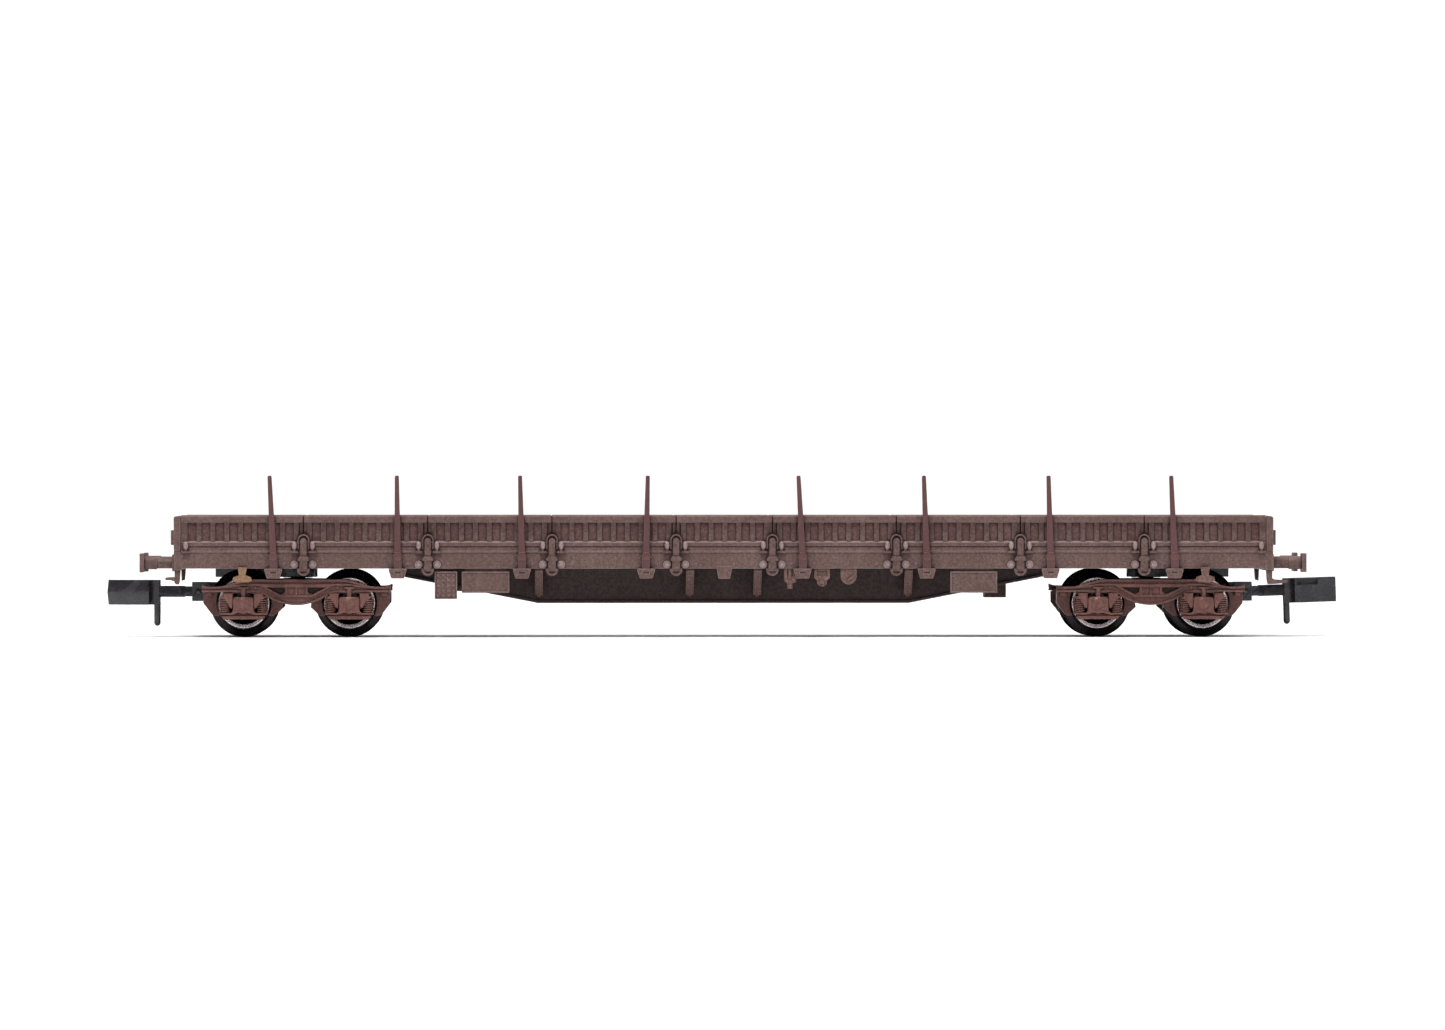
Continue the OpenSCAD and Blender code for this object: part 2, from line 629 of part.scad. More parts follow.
// One side of the bogie, about its own centre
module bogie_side() {
    post_x = 1.08;
    difference() {
        union() {
            right_plate(frame_web[0], frame_web[1]) difference() {
                frame_outline();
                frame_window();
            }
            // top flange
            right_plate(frame_inner, 7.55) polygon(concat(
                [for (k = [12:-1:0]) [-flange_x[k], flange_top[k]]],
                [for (k = [0:12]) [flange_x[k], flange_top[k]]],
                [for (k = [12:-1:0]) [flange_x[k], flange_top[k] - flange_t]],
                [for (k = [0:12]) [-flange_x[k], flange_top[k] - flange_t]]));
            // rib along the lower edge of the frame, out to each end
            for (s = [-1, 1]) right_plate(frame_web[0], 7.6)
                translate([s * 6.3 - 3.75, 3.98]) square([7.5, 0.22]);
            // raised rim of the window and of the belly
            right_plate(frame_web[0], 7.62) {
                polygon([[-3.75, 4.5], [3.75, 4.5], [3.75, 4.68], [-3.75, 4.68]]);
                for (s = [-1, 1])
                    polygon([[s * 3.75, 4.6], [s * 3.3, 4.6], [s * 1.62, 3.68], [0, 3.68],
                             [0, 3.48], [s * 1.7, 3.48]]);
                for (x = [-post_x, 0, post_x])
                    translate([x - 0.1, 3.5]) square([0.2, 1.1]);
                for (s = [-1, 1])
                    polygon([[s * post_x, 3.6], [s * (post_x + 0.75), 3.72],
                             [s * post_x, 4.25]]);
                polygon(concat(
                    [for (x = [-3.6:0.4:3.61]) [x, belly_h(x)]],
                    [for (x = [3.6:-0.4:-3.61]) [x, belly_h(x) + 0.17]]));
            }
            right_plate(frame_web[0], 7.2) translate([-post_x, 3.6]) square([2 * post_x, 1]);
            // plate behind the window
            right_plate(frame_inner, frame_web[0] + 0.05) translate([-3.6, 3.5]) square([7.2, 1.3]);
            for (s = [-1, 1]) translate([s * wheelbase / 2, 0, 0]) axlebox();
            // end blocks
            for (s = [-1, 1], h = [3.98, 4.34])
                block(min(s * 9.15, s * frame_half_l), max(s * 9.15, s * frame_half_l),
                      -7.62, -frame_inner, h, h + 0.26);
            for (s = [-1, 1]) cross_rod(s * 4.35, 4.45, 0.13, -7.58, -7.3);
            // root of the bolster
            right_plate(frame_inner - 0.3, frame_web[1]) translate([-bolster_half_l, 4.55])
                square([2 * bolster_half_l, bolster_top_h - 4.55]);
        }
        for (s = [-1, 1]) cross_rod(s * wheelbase / 2, axle_h, journal_r + journal_play,
                                    -(journal_end + 0.05), -frame_inner + 1);
    }
}

module bogie_frame() color(bogie_brown) difference() {
    union() {
        both_sides() bogie_side();
        block(-bolster_half_l, bolster_half_l, -frame_inner, frame_inner,
              bolster_bottom_h, bolster_top_h);
        upright_rod(0, 0, 1.6, bolster_top_h - 0.1, pivot_pad_h - 0.05);
    }
    upright_rod(0, 0, pivot_r + pivot_play, 0, 9);
}
module bogie_frame_front() translate([bogie_x, 0, 0]) bogie_frame();
module bogie_frame_rear() half_turn() translate([bogie_x, 0, 0]) bogie_frame();

// Brake shoe facing the tread of a wheel whose axle is at x = 0, on its positive side
module brake_shoe(outer) {
    shoe_gap = 0.12;
    y0 = 4.6;
    back = outer ? [[3.47, 1.68], [4.33, 2.8], [4.33, 3.95], [3.55, 4.2]]
                 : [[3.85, 2.1], [4.15, 2.35], [4.1, 2.75], [3.85, 3.6], [3.4, 4.2]];
    right_plate(y0, 5.6) difference() {
        polygon(concat([[1.9, 1.5], [3.15, 1.42]], back, [[2.9, 4.2], [2.4, 3.9]]));
        translate([0, axle_h]) circle(r = tread_r + shoe_gap, $fn = 64);
    }
    if (outer) block(3.4, 3.95, -frame_inner, -(y0 + 0.2), 3.6, 4.1);
    else block(3.0, wheelbase / 2 - bolster_half_l, -5.6, -y0, 3.95, 4.2);
}

module bogie_shoes() color(bogie_brown) both_ends() both_sides()
    translate([wheelbase / 2, 0, 0]) {
        brake_shoe(true);
        mirror([1, 0, 0]) brake_shoe(false);
    }
module brake_shoes_front() translate([bogie_x, 0, 0]) bogie_shoes();
module brake_shoes_rear() half_turn() translate([bogie_x, 0, 0]) bogie_shoes();

// ---------- wheelsets ----------

module on_axle(k) translate([axle_x[k], 0, up(axle_h)]) rotate([-90, 0, 0]) children();

module axle(k) color(bare_steel) on_axle(k) rotate_extrude() polygon([
    [0, -journal_end], [journal_r - 0.1, -journal_end], [journal_r, -journal_end + 0.1],
    [journal_r, -6.3], [axle_r, -6.0], [axle_r, 6.0], [journal_r, 6.3],
    [journal_r, journal_end - 0.1], [journal_r - 0.1, journal_end], [0, journal_end]]);

// Flanged wheel with a dished face, bored to the given radius
module wheel(bore) rotate_extrude($fn = 96) {
    polygon([
        [bore, wheel_back], [flange_r - 0.25, wheel_back], [flange_r - 0.06, wheel_back + 0.12],
        [flange_r, wheel_back + 0.28], [flange_r - 0.08, wheel_back + 0.44],
        [tread_r + 0.16, wheel_back + 0.62], [tread_r, wheel_back + 0.8],
        [tread_r - 0.03, wheel_face - 0.1], [tread_r - 0.13, wheel_face],
        [tread_r - 0.42, wheel_face], [tread_r - 0.55, wheel_face - 0.3],
        [1.55, wheel_face - 0.75], [1.25, wheel_face - 0.35], [1.2, wheel_face - 0.05],
        [bore, wheel_face - 0.05]]);
}

module wheels(k) color(dark_steel) on_axle(k) {
    wheel(bush_r + press_gap);
    mirror([0, 0, 1]) wheel(axle_r + press_gap);
}

// Insulating bush between the axle and its left-hand wheel
module wheel_bush(k) color(pale_plastic) on_axle(k)
    translate([0, 0, wheel_back - 0.1]) difference() {
        cylinder(r = bush_r, h = wheel_face - wheel_back + 0.05);
        translate([0, 0, -1]) cylinder(r = axle_r + press_gap, h = 5);
    }

// ---------- couplers ----------

// Swinging link: pivot eye, arm over the outer axle, and the pocket at its end
module coupler_link() color(coupler_black) difference() {
    union() {
        upright_rod(bogie_x + link_pivot, 0, 0.95, link_bottom_h, link_top_h + 0.05);
        block(bogie_x + link_pivot, 55.2, -0.8, 0.8, link_bottom_h, link_top_h);
        block(54.9, pocket_mouth, -1.25, 1.25, 2.97, 5.02);
    }
    upright_rod(bogie_x + link_pivot, 0, link_pin_r + link_play, 3, 6);
    block(55.4, 60, -0.75, 0.75, 3.3, 4.75);
    cross_rod(head_axis_x, head_axis_h, trunnion_r + link_play, -2, 2);
}
module coupler_link_front() coupler_link();
module coupler_link_rear() half_turn() coupler_link();

module link_pin() color(dark_steel) {
    upright_rod(bogie_x + link_pivot, 0, link_pin_r, link_bottom_h - 0.1, floor_h - deck_t - 0.4);
    upright_rod(bogie_x + link_pivot, 0, 0.6, link_bottom_h - 0.25, link_bottom_h - 0.04);
}
module link_pin_front() link_pin();
module link_pin_rear() half_turn() link_pin();

// Small coil round the link pin that turns the link back to the middle
module centring_spring() color(bare_steel) translate([bogie_x + link_pivot, 0, up(0)])
    rotate_extrude($fn = 32) {
        for (h = [5.18, 5.31, 5.44]) translate([0.62, h]) circle(r = 0.075, $fn = 16);
        translate([0.58, 5.15]) square([0.08, 0.33]);
    }
module centring_spring_front() centring_spring();
module centring_spring_rear() half_turn() centring_spring();

// Hook-type coupler head with its drop pin, shank and trunnions
module coupler_head() color(coupler_black) {
    cheek = 1.75;
    drop_pin_r = 0.36;
    drop_pin_h = 0.66;
    nose_start = 63.9;
    difference() {
        union() {
            hull() {
                mirror([0, 1, 0]) right_section(nose_start - 0.1, nose_start)
                    polygon([[-cheek, head_low_h], [-cheek, head_high_h],
                             [cheek - 0.35, head_high_h], [cheek, head_axis_h - 0.05],
                             [cheek - 0.35, head_low_h]]);
                block(coupler_tip - 0.25, coupler_tip - 0.12, -cheek, 0.1,
                      head_low_h, head_high_h);
                block(coupler_tip - 0.1, coupler_tip, -0.6, 0.2,
                      head_axis_h - 0.15, head_axis_h + 0.05);
            }
            mirror([0, 1, 0]) right_section(head_back, nose_start)
                polygon([[-cheek, head_low_h], [-cheek, head_high_h],
                         [cheek - 0.35, head_high_h], [cheek, head_axis_h - 0.05],
                         [cheek - 0.35, head_low_h]]);
        }
        // catch slot in one cheek
        block(head_back + 0.2, 63.85, -3, -0.6, 4.5, 5.1);
        // hollow behind the nose, open below
        block(head_back + 0.4, 64.2, -0.9, 0.7, head_low_h - 1, 3.6);
    }
    block(60.35, head_back + 0.05, -0.7, 0.7, head_low_h, head_high_h);
    upright_rod(drop_pin_x, 0, drop_pin_r, drop_pin_h, head_high_h);
    translate([drop_pin_x, 0, up(drop_pin_h)]) intersection() {
        sphere(r = drop_pin_r, $fn = 32);
        translate([-1, -1, -2]) cube(2);
    }
    // shank with a faceted section
    right_section(57.6, 60.4)
        polygon([[-0.6, 3.5], [-0.5, 3.4], [0.5, 3.4], [0.6, 3.5], [0.6, 3.95], [0.45, 4.6],
                 [-0.45, 4.6], [-0.6, 3.95]]);
    block(head_axis_x, 57.7, -0.58, 0.58, 3.46, 4.54);
    cross_rod(head_axis_x, head_axis_h, 0.54, -0.6, 0.6);
    cross_rod(head_axis_x, head_axis_h, trunnion_r, -1.2, 1.2);
}

// Turns the head upwards about its trunnions
module lifted(angle)
    translate([head_axis_x, 0, up(head_axis_h)]) rotate([0, -angle, 0])
        translate([-head_axis_x, 0, -up(head_axis_h)]) children();

module coupler_head_front() lifted(front_head_lift) coupler_head();
module coupler_head_rear() half_turn() coupler_head();

// ---------- model ----------

floor_deck();
ballast_weight();
underframe();
headstock_front();
headstock_rear();
side_sill_right();
side_sill_left();
girder_right();
girder_left();
cross_bearers();
drop_sides_right();
drop_sides_left();
hinge_posts_right();
hinge_posts_left();
latch_handles_right();
latch_handles_left();
corner_posts();
end_board_front();
end_board_rear();
stake_pockets_right();
stake_pockets_left();
stakes();
buffer_casings();
buffer_plungers();
label_boards();
brake_boxes();
brake_levers();
rope_hooks();
end_steps();
coupler_guide_front();
coupler_guide_rear();
pivot_screw_front();
pivot_screw_rear();
bogie_frame_front();
bogie_frame_rear();
brake_shoes_front();
brake_shoes_rear();
axle(0);  // axle_1
axle(1);  // axle_2
axle(2);  // axle_3
axle(3);  // axle_4
wheels(0);  // wheels_1
wheels(1);  // wheels_2
wheels(2);  // wheels_3
wheels(3);  // wheels_4
wheel_bush(0);  // wheel_bush_1
wheel_bush(1);  // wheel_bush_2
wheel_bush(2);  // wheel_bush_3
wheel_bush(3);  // wheel_bush_4
coupler_link_front();
coupler_link_rear();
link_pin_front();
link_pin_rear();
centring_spring_front();
centring_spring_rear();
coupler_head_front();
coupler_head_rear();
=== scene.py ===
"""Looks of the four-axle stake car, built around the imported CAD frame.

The frame and the finished objects are in metres, +X front, +Z up. Shapes are drawn in millimetres,
with heights above the rail top, and become metres when a piece is finished.
"""

import json
import math
import random

import bmesh
import bpy
from mathutils import Matrix, Vector


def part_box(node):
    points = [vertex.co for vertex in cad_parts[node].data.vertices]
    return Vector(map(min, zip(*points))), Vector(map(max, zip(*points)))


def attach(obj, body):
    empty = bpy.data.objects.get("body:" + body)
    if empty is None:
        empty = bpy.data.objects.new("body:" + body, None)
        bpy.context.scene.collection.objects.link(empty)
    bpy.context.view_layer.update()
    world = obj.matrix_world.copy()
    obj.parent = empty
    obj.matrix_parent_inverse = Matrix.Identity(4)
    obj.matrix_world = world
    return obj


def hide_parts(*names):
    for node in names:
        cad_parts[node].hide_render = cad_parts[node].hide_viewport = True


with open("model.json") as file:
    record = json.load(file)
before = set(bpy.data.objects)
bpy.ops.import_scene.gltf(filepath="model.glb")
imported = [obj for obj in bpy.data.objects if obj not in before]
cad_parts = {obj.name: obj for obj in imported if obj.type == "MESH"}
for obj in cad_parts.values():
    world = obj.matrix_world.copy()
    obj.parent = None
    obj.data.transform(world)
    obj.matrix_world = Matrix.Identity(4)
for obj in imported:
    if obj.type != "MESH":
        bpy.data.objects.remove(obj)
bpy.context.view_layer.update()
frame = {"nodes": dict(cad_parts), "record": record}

MM = 0.001
SHARP_DEG = 42.0    # edges sharper than this are rounded and shaded as edges
# places in a piece's list of materials
MAIN, EDGE, THIRD, FOURTH = range(4)
random.seed(160)

joint_place = {j["name"]: Vector(j["pos_m"]) / MM for j in frame["record"]["behaviour"]["joints"]}
slot_of_node = {r["node"]: r["material_slot"] for r in frame["record"]["subparts"]}
body_of_node = {n: b for b, names in frame["record"]["behaviour"]["bodies"].items()
                for n in names}


def box_mm(node):
    low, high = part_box(node)
    return Vector(low) / MM, Vector(high) / MM


AXLE_H = 2.82       # above the rail, so the radius of the tread too
RAIL_Z = joint_place["wheelset_1_spin"].z - AXLE_H


def up(h):
    """Height above the origin of a height above the rail."""
    return RAIL_Z + h


# ---------- material building blocks ----------

class Shader:
    """A node tree with short calls for the nodes that the materials share."""

    def __init__(self, name):
        self.material = bpy.data.materials.new(name)
        self.material.use_nodes = True
        self.tree = self.material.node_tree
        self.bsdf = self.tree.nodes["Principled BSDF"]
        self.position = self.node("ShaderNodeTexCoord").outputs["Object"]

    def node(self, kind, **settings):
        made = self.tree.nodes.new(kind)
        for key, value in settings.items():
            setattr(made, key, value)
        return made

    def link(self, source, target):
        self.tree.links.new(source, target)

    def noise(self, scale, detail=3.0, stretch=(1, 1, 1), rough=0.55):
        """Noise with a scale in features per millimetre, stretched along the axes."""
        mapping = self.node("ShaderNodeMapping")
        mapping.inputs["Scale"].default_value = [s / MM for s in stretch]
        self.link(self.position, mapping.inputs["Vector"])
        noise = self.node("ShaderNodeTexNoise")
        noise.inputs["Scale"].default_value = scale
        noise.inputs["Detail"].default_value = detail
        noise.inputs["Roughness"].default_value = rough
        self.link(mapping.outputs["Vector"], noise.inputs["Vector"])
        return noise.outputs["Fac"]

    def ramp(self, value, low, high, start=0.0, end=1.0):
        """Value remapped smoothly from low..high to start..end."""
        made = self.node("ShaderNodeMapRange", interpolation_type="SMOOTHSTEP")
        made.inputs["From Min"].default_value = low
        made.inputs["From Max"].default_value = high
        made.inputs["To Min"].default_value = start
        made.inputs["To Max"].default_value = end
        self.link(value, made.inputs["Value"])
        return made.outputs["Result"]

    def math(self, operation, a, b):
        made = self.node("ShaderNodeMath", operation=operation)
        for socket, value in zip(made.inputs, (a, b)):
            if isinstance(value, (int, float)):
                socket.default_value = value
            else:
                self.link(value, socket)
        return made.outputs["Value"]

    def mix(self, factor, a, b, blend="MIX"):
        made = self.node("ShaderNodeMix", data_type="RGBA", blend_type=blend)
        colours = [s for s in made.inputs if s.type == "RGBA"]
        for socket, value in zip((made.inputs[0], *colours), (factor, a, b)):
            if isinstance(value, tuple):
                socket.default_value = (*value, 1.0)
            elif isinstance(value, (int, float)):
                socket.default_value = value
            else:
                self.link(value, socket)
        return next(s for s in made.outputs if s.type == "RGBA")

    def upward(self):
        """1 on faces that look up, 0 on the rest."""
        normal = self.node("ShaderNodeNewGeometry").outputs["Normal"]
        split = self.node("ShaderNodeSeparateXYZ")
        self.link(normal, split.inputs["Vector"])
        return self.ramp(split.outputs["Z"], 0.2, 0.95)

    def openness(self, distance_mm):
        """1 in the open, falling towards 0 in narrow corners."""
        occlusion = self.node("ShaderNodeAmbientOcclusion", samples=8)
        occlusion.inputs["Distance"].default_value = distance_mm * MM
        return occlusion.outputs["AO"]

    def bump(self, height, strength, distance_mm):
        made = self.node("ShaderNodeBump")
        made.inputs["Strength"].default_value = strength
        made.inputs["Distance"].default_value = distance_mm * MM
        self.link(height, made.inputs["Height"])
        self.link(made.outputs["Normal"], self.bsdf.inputs["Normal"])

    def set(self, **values):
        for key, value in values.items():
            self.bsdf.inputs[key.replace("_", " ")].default_value = value


def scaled(colour, factor):
    return tuple(c * factor for c in colour)


def moulded_plastic(name, base, dark, dust, dust_amount=0.3, roughness=(0.42, 0.66), grain=0.5,
                    specular=0.3, shade_depth=0.85, mottle_amount=0.6, reach=0.5, speck=0.3,
                    corner=None):
    """Weathered plastic: mottled tone, fine pale specks, dust on top, painted shade in corners.

    reach is how far the painted shade comes out of a corner, in millimetres, and corner its
    colour."""
    s = Shader(name)
    patches = s.ramp(s.noise(0.13, 4.0), 0.35, 0.68)
    mottle = s.ramp(s.noise(3.4, 5.0, rough=0.75), 0.36, 0.62)
    colour = s.mix(s.math("MULTIPLY", patches, 0.3), base, dust)
    colour = s.mix(s.math("MULTIPLY", mottle, mottle_amount), colour, dark)
    streaks = s.ramp(s.noise(0.8, 3.0, stretch=(1.0, 1.0, 0.15)), 0.52, 0.75)
    colour = s.mix(s.math("MULTIPLY", streaks, 0.2), colour, dust)
    specks = s.ramp(s.noise(5.0, 2.0, rough=0.4), 0.6, 0.68)
    top = s.math("MULTIPLY", s.upward(), dust_amount)
    colour = s.mix(s.math("MAXIMUM", top, s.math("MULTIPLY", specks, speck)), colour, dust)
    # painted shade: the colour darkens towards corners and recesses, from ambient occlusion, by
    # the given depth
    shade = s.ramp(s.openness(reach), 0.42, 0.94, 1.0 - shade_depth, 1.0)
    colour = s.mix(shade, corner or PAINTED_SHADE, colour)
    s.link(colour, s.bsdf.inputs["Base Color"])
    s.link(s.ramp(mottle, 0.0, 1.0, roughness[0], roughness[1]), s.bsdf.inputs["Roughness"])
    s.set(Specular_IOR_Level=specular)
    s.bump(s.noise(6.0, 4.0, rough=0.65), grain, 0.03)
    return s.material


def planked_plastic(name, base, dark, dust):
    """Moulded wooden planks: each plank its own tone, grain along its length across the car."""
    s = Shader(name)
    plank = s.node("ShaderNodeNewGeometry").outputs["Random Per Island"]
    grain = s.noise(1.6, 6.0, stretch=(4.0, 0.25, 1.0), rough=0.7)
    fibres = s.ramp(grain, 0.35, 0.65)
    colour = s.mix(s.math("MULTIPLY", plank, 0.7), base, dust)
    colour = s.mix(s.math("MULTIPLY", fibres, 0.55), colour, dark)
    stains = s.ramp(s.noise(0.12, 4.0), 0.45, 0.7)
    colour = s.mix(s.math("MULTIPLY", stains, 0.4), colour, dark)
    # painted shade: darker in the gaps between the planks, from ambient occlusion
    colour = s.mix(s.ramp(s.openness(0.6), 0.2, 0.8, 0.3, 1.0), scaled(dark, 0.3), colour)
    s.link(colour, s.bsdf.inputs["Base Color"])
    s.link(s.ramp(grain, 0.3, 0.7, 0.72, 0.55), s.bsdf.inputs["Roughness"])
    s.set(Specular_IOR_Level=0.25)
    s.bump(grain, 0.6, 0.05)
    return s.material


def turned_metal(name, base, dark, roughness=(0.18, 0.38), turned=(1, 1, 1), grime=0.4):
    """Machined metal with faint tool marks along one direction, stains, and painted shade in the
    corners.
    """
    s = Shader(name)
    marks = s.noise(6.0, 4.0, stretch=turned)
    stain = s.ramp(s.noise(0.6, 4.0), 0.42, 0.72)
    colour = s.mix(s.math("MULTIPLY", stain, grime), base, dark)
    # painted shade: darker in the corners, from ambient occlusion
    colour = s.mix(s.ramp(s.openness(0.4), 0.1, 0.7), dark, colour)
    s.link(colour, s.bsdf.inputs["Base Color"])
    s.link(s.ramp(marks, 0.3, 0.7, *roughness), s.bsdf.inputs["Roughness"])
    s.set(Metallic=1.0)
    s.bump(marks, 0.25, 0.01)
    return s.material


def black_gloss(name, tone=1.0):
    """Smooth black moulding with a faint haze and a few fine scuffs."""
    s = Shader(name)
    haze = s.ramp(s.noise(0.5, 3.0), 0.35, 0.75)
    scuffs = s.ramp(s.noise(2.5, 3.0, stretch=(0.15, 1.0, 1.0)), 0.58, 0.7)
    colour = s.mix(s.math("MULTIPLY", haze, 0.6), scaled((0.012, 0.011, 0.014), tone),
                   scaled((0.034, 0.031, 0.038), tone))
    s.link(colour, s.bsdf.inputs["Base Color"])
    s.link(s.math("ADD", s.ramp(haze, 0.0, 1.0, 0.22, 0.36), s.math("MULTIPLY", scuffs, 0.15)),
           s.bsdf.inputs["Roughness"])
    s.set(Specular_IOR_Level=0.5)
    s.bump(s.noise(3.0, 3.0), 0.15, 0.015)
    return s.material


# colour of the shade painted into corners
PAINTED_SHADE = (0.020, 0.006, 0.005)
BODY = (0.106, 0.060, 0.053)
BODY_DARK = (0.050, 0.023, 0.020)
BODY_DUST = (0.190, 0.125, 0.115)
BODY_EDGE = (0.185, 0.122, 0.112)
FIELD = (0.080, 0.036, 0.032)
BOGIE = (0.115, 0.042, 0.032)
BOGIE_DARK = (0.048, 0.014, 0.011)
BOGIE_DUST = (0.215, 0.100, 0.085)
BOGIE_EDGE = (0.200, 0.085, 0.068)
STAKE = (0.070, 0.023, 0.022)
STAKE_DARK = (0.040, 0.012, 0.011)
STAKE_EDGE = (0.120, 0.050, 0.046)
# underframe colours, darker than the body: partly its dirt, partly painted shade under the body
UNDER = (0.030, 0.016, 0.015)
UNDER_DARK = (0.012, 0.006, 0.006)
UNDER_DUST = (0.060, 0.038, 0.036)
FITTING = (0.125, 0.066, 0.058)
BRONZE = (0.230, 0.130, 0.074)

looks = {
    "body_brown": moulded_plastic("body_brown", BODY, BODY_DARK, BODY_DUST),
    "stake_brown": moulded_plastic("stake_brown", STAKE, STAKE_DARK, STAKE_EDGE,
                                   dust_amount=0.15, roughness=(0.3, 0.45), grain=0.15,
                                   specular=0.5, mottle_amount=0.3, speck=0.1),
    "bogie_brown": moulded_plastic("bogie_brown", BOGIE, BOGIE_DARK, BOGIE_DUST,
                                   roughness=(0.36, 0.55), specular=0.4, shade_depth=0.75,
                                   reach=0.35),
    "fitting_brown": moulded_plastic("fitting_brown", FITTING, BODY_DARK, (0.260, 0.160, 0.120),
                                     corner=scaled(BODY_DARK, 0.5)),
    "coupler_black": black_gloss("coupler_black"),
    "wheel_metal": turned_metal("wheel_blackened", (0.030, 0.026, 0.027), (0.010, 0.008, 0.008),
                                roughness=(0.16, 0.32)),
    "axle_steel": turned_metal("axle_steel", (0.45, 0.44, 0.44), (0.16, 0.13, 0.12)),
    "weight_steel": turned_metal("weight_steel", (0.40, 0.40, 0.41), (0.15, 0.13, 0.12),
                                 roughness=(0.3, 0.55), turned=(0.1, 1, 1)),
    "screw_steel": turned_metal("screw_steel", (0.13, 0.13, 0.14), (0.04, 0.04, 0.04)),
    "spring_steel": turned_metal("spring_steel", (0.55, 0.54, 0.53), (0.2, 0.18, 0.16)),
    "bush_plastic": moulded_plastic("bush_plastic", (0.50, 0.47, 0.40), (0.30, 0.27, 0.22),
                                    (0.6, 0.58, 0.5), shade_depth=0.3, speck=0.1),
}
# lighter looks for the rounded edges: painted highlight, partly edge wear
edge_looks = {
    "body_brown": moulded_plastic("body_edge", BODY_EDGE, BODY, (0.290, 0.215, 0.205),
                                  shade_depth=0.6, mottle_amount=0.4),
    "bogie_brown": moulded_plastic("bogie_edge", BOGIE_EDGE, BOGIE, (0.310, 0.155, 0.130),
                                   roughness=(0.34, 0.5), shade_depth=0.4, mottle_amount=0.4,
                                    reach=0.3),
    "fitting_brown": moulded_plastic("fitting_edge", (0.280, 0.165, 0.125), FITTING,
                                     (0.42, 0.28, 0.22), shade_depth=0.5),
    "stake_brown": moulded_plastic("stake_edge", STAKE_EDGE, STAKE, (0.19, 0.09, 0.08),
                                   roughness=(0.26, 0.4), specular=0.6, shade_depth=0.4),
    "coupler_black": black_gloss("coupler_edge", 3.0),
}
field_look = moulded_plastic("rib_field", FIELD, (0.038, 0.014, 0.012), (0.170, 0.095, 0.088),
                             reach=0.4, shade_depth=0.95, speck=0.35)
# painted shade: near-black colour for the narrow groove
groove_shade_look = moulded_plastic("groove_painted_shade", (0.034, 0.014, 0.012), (0.018, 0.007, 0.006),
                              (0.06, 0.03, 0.026))
under_look = moulded_plastic("underside", UNDER, UNDER_DARK, UNDER_DUST, speck=0.2)
under_edge = moulded_plastic("underside_edge", UNDER_DUST, UNDER, BODY, speck=0.2)
# near-black look that stands in for the shade inside the bogie frame
bogie_dark_look = moulded_plastic("bogie_shadow", (0.020, 0.008, 0.006), (0.008, 0.003, 0.003),
                                  (0.035, 0.016, 0.013), speck=0.1)
# painted highlight: pale colour for the bolts and the latch grips
bolt_highlight_look = moulded_plastic("bolt_painted_highlight", (0.215, 0.140, 0.136), (0.10, 0.055, 0.052),
                            (0.34, 0.26, 0.25), roughness=(0.25, 0.4), specular=0.6,
                            mottle_amount=0.35, reach=0.3)
floor_look = planked_plastic("floor_planks", BODY, BODY_DARK, BODY_EDGE)
bronze_look = moulded_plastic("hook_bronze", BRONZE, (0.085, 0.045, 0.026), (0.34, 0.22, 0.14),
                              roughness=(0.35, 0.5))
wheel_face_look = turned_metal("wheel_face", (0.66, 0.59, 0.59), (0.16, 0.12, 0.12),
                               roughness=(0.16, 0.36), grime=0.6)


# ---------- mesh building blocks, in millimetres ----------

def finished_piece(name, bm, slot, body, replaced=(), smooth_angle=SHARP_DEG,
                   look_list=None):
    """Turns a bmesh in millimetres into a piece with its materials, taken from its slot unless a
    list is given, and its body.
    """
    mesh = bpy.data.meshes.new(name)
    for face in bm.faces:
        face.smooth = True
    bm.transform(Matrix.Scale(MM, 4))
    bm.to_mesh(mesh)
    bm.free()
    mesh.set_sharp_from_angle(angle=math.radians(smooth_angle))
    piece = bpy.data.objects.new(name, mesh)
    bpy.context.scene.collection.objects.link(piece)
    for material in look_list or (looks[slot], edge_looks.get(slot, looks[slot])):
        mesh.materials.append(material)
    shading = piece.modifiers.new("even_shading", "WEIGHTED_NORMAL")
    shading.keep_sharp = True
    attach(piece, body)
    if replaced:
        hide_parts(*replaced)
    return piece


def soften(bm, width, min_angle=SHARP_DEG, segments=2):
    """Rounds the convex edges; the new faces take the second, lighter material, a painted
    highlight with some edge wear.
    """
    sharp = [e for e in bm.edges if e.is_manifold and e.is_convex
             and e.calc_face_angle(0.0) > math.radians(min_angle)]
    if not sharp:
        return
    made = bmesh.ops.bevel(bm, geom=sharp, offset=width, offset_type="OFFSET",
                           segments=segments, profile=0.5, affect="EDGES", clamp_overlap=True)
    for face in made["faces"]:
        face.material_index = EDGE


def cad_copy(node, keep=None):
    """The CAD node's own mesh in millimetres, its flat faces merged from triangles.

    With keep, only the solids whose middle satisfies it are copied."""
    bm = bmesh.new()
    bm.from_mesh(frame["nodes"][node].data)
    bm.transform(Matrix.Scale(1.0 / MM, 4))
    bmesh.ops.remove_doubles(bm, verts=bm.verts, dist=0.002)
    if keep:
        bmesh.ops.delete(bm, geom=[v for part in islands(bm) if not keep(middle(part))
                                   for v in part], context="VERTS")
    bmesh.ops.dissolve_limit(bm, angle_limit=math.radians(1.0), verts=bm.verts, edges=bm.edges)
    for face in bm.faces:
        face.material_index = MAIN
    return bm


def islands(bm):
    """Lists of the vertices of each connected part."""
    left = set(bm.verts)
    found = []
    while left:
        stack = [left.pop()]
        part = list(stack)
        while stack:
            for edge in stack.pop().link_edges:
                for vert in edge.verts:
                    if vert in left:
                        left.discard(vert)
                        stack.append(vert)
                        part.append(vert)
        found.append(part)
    return found


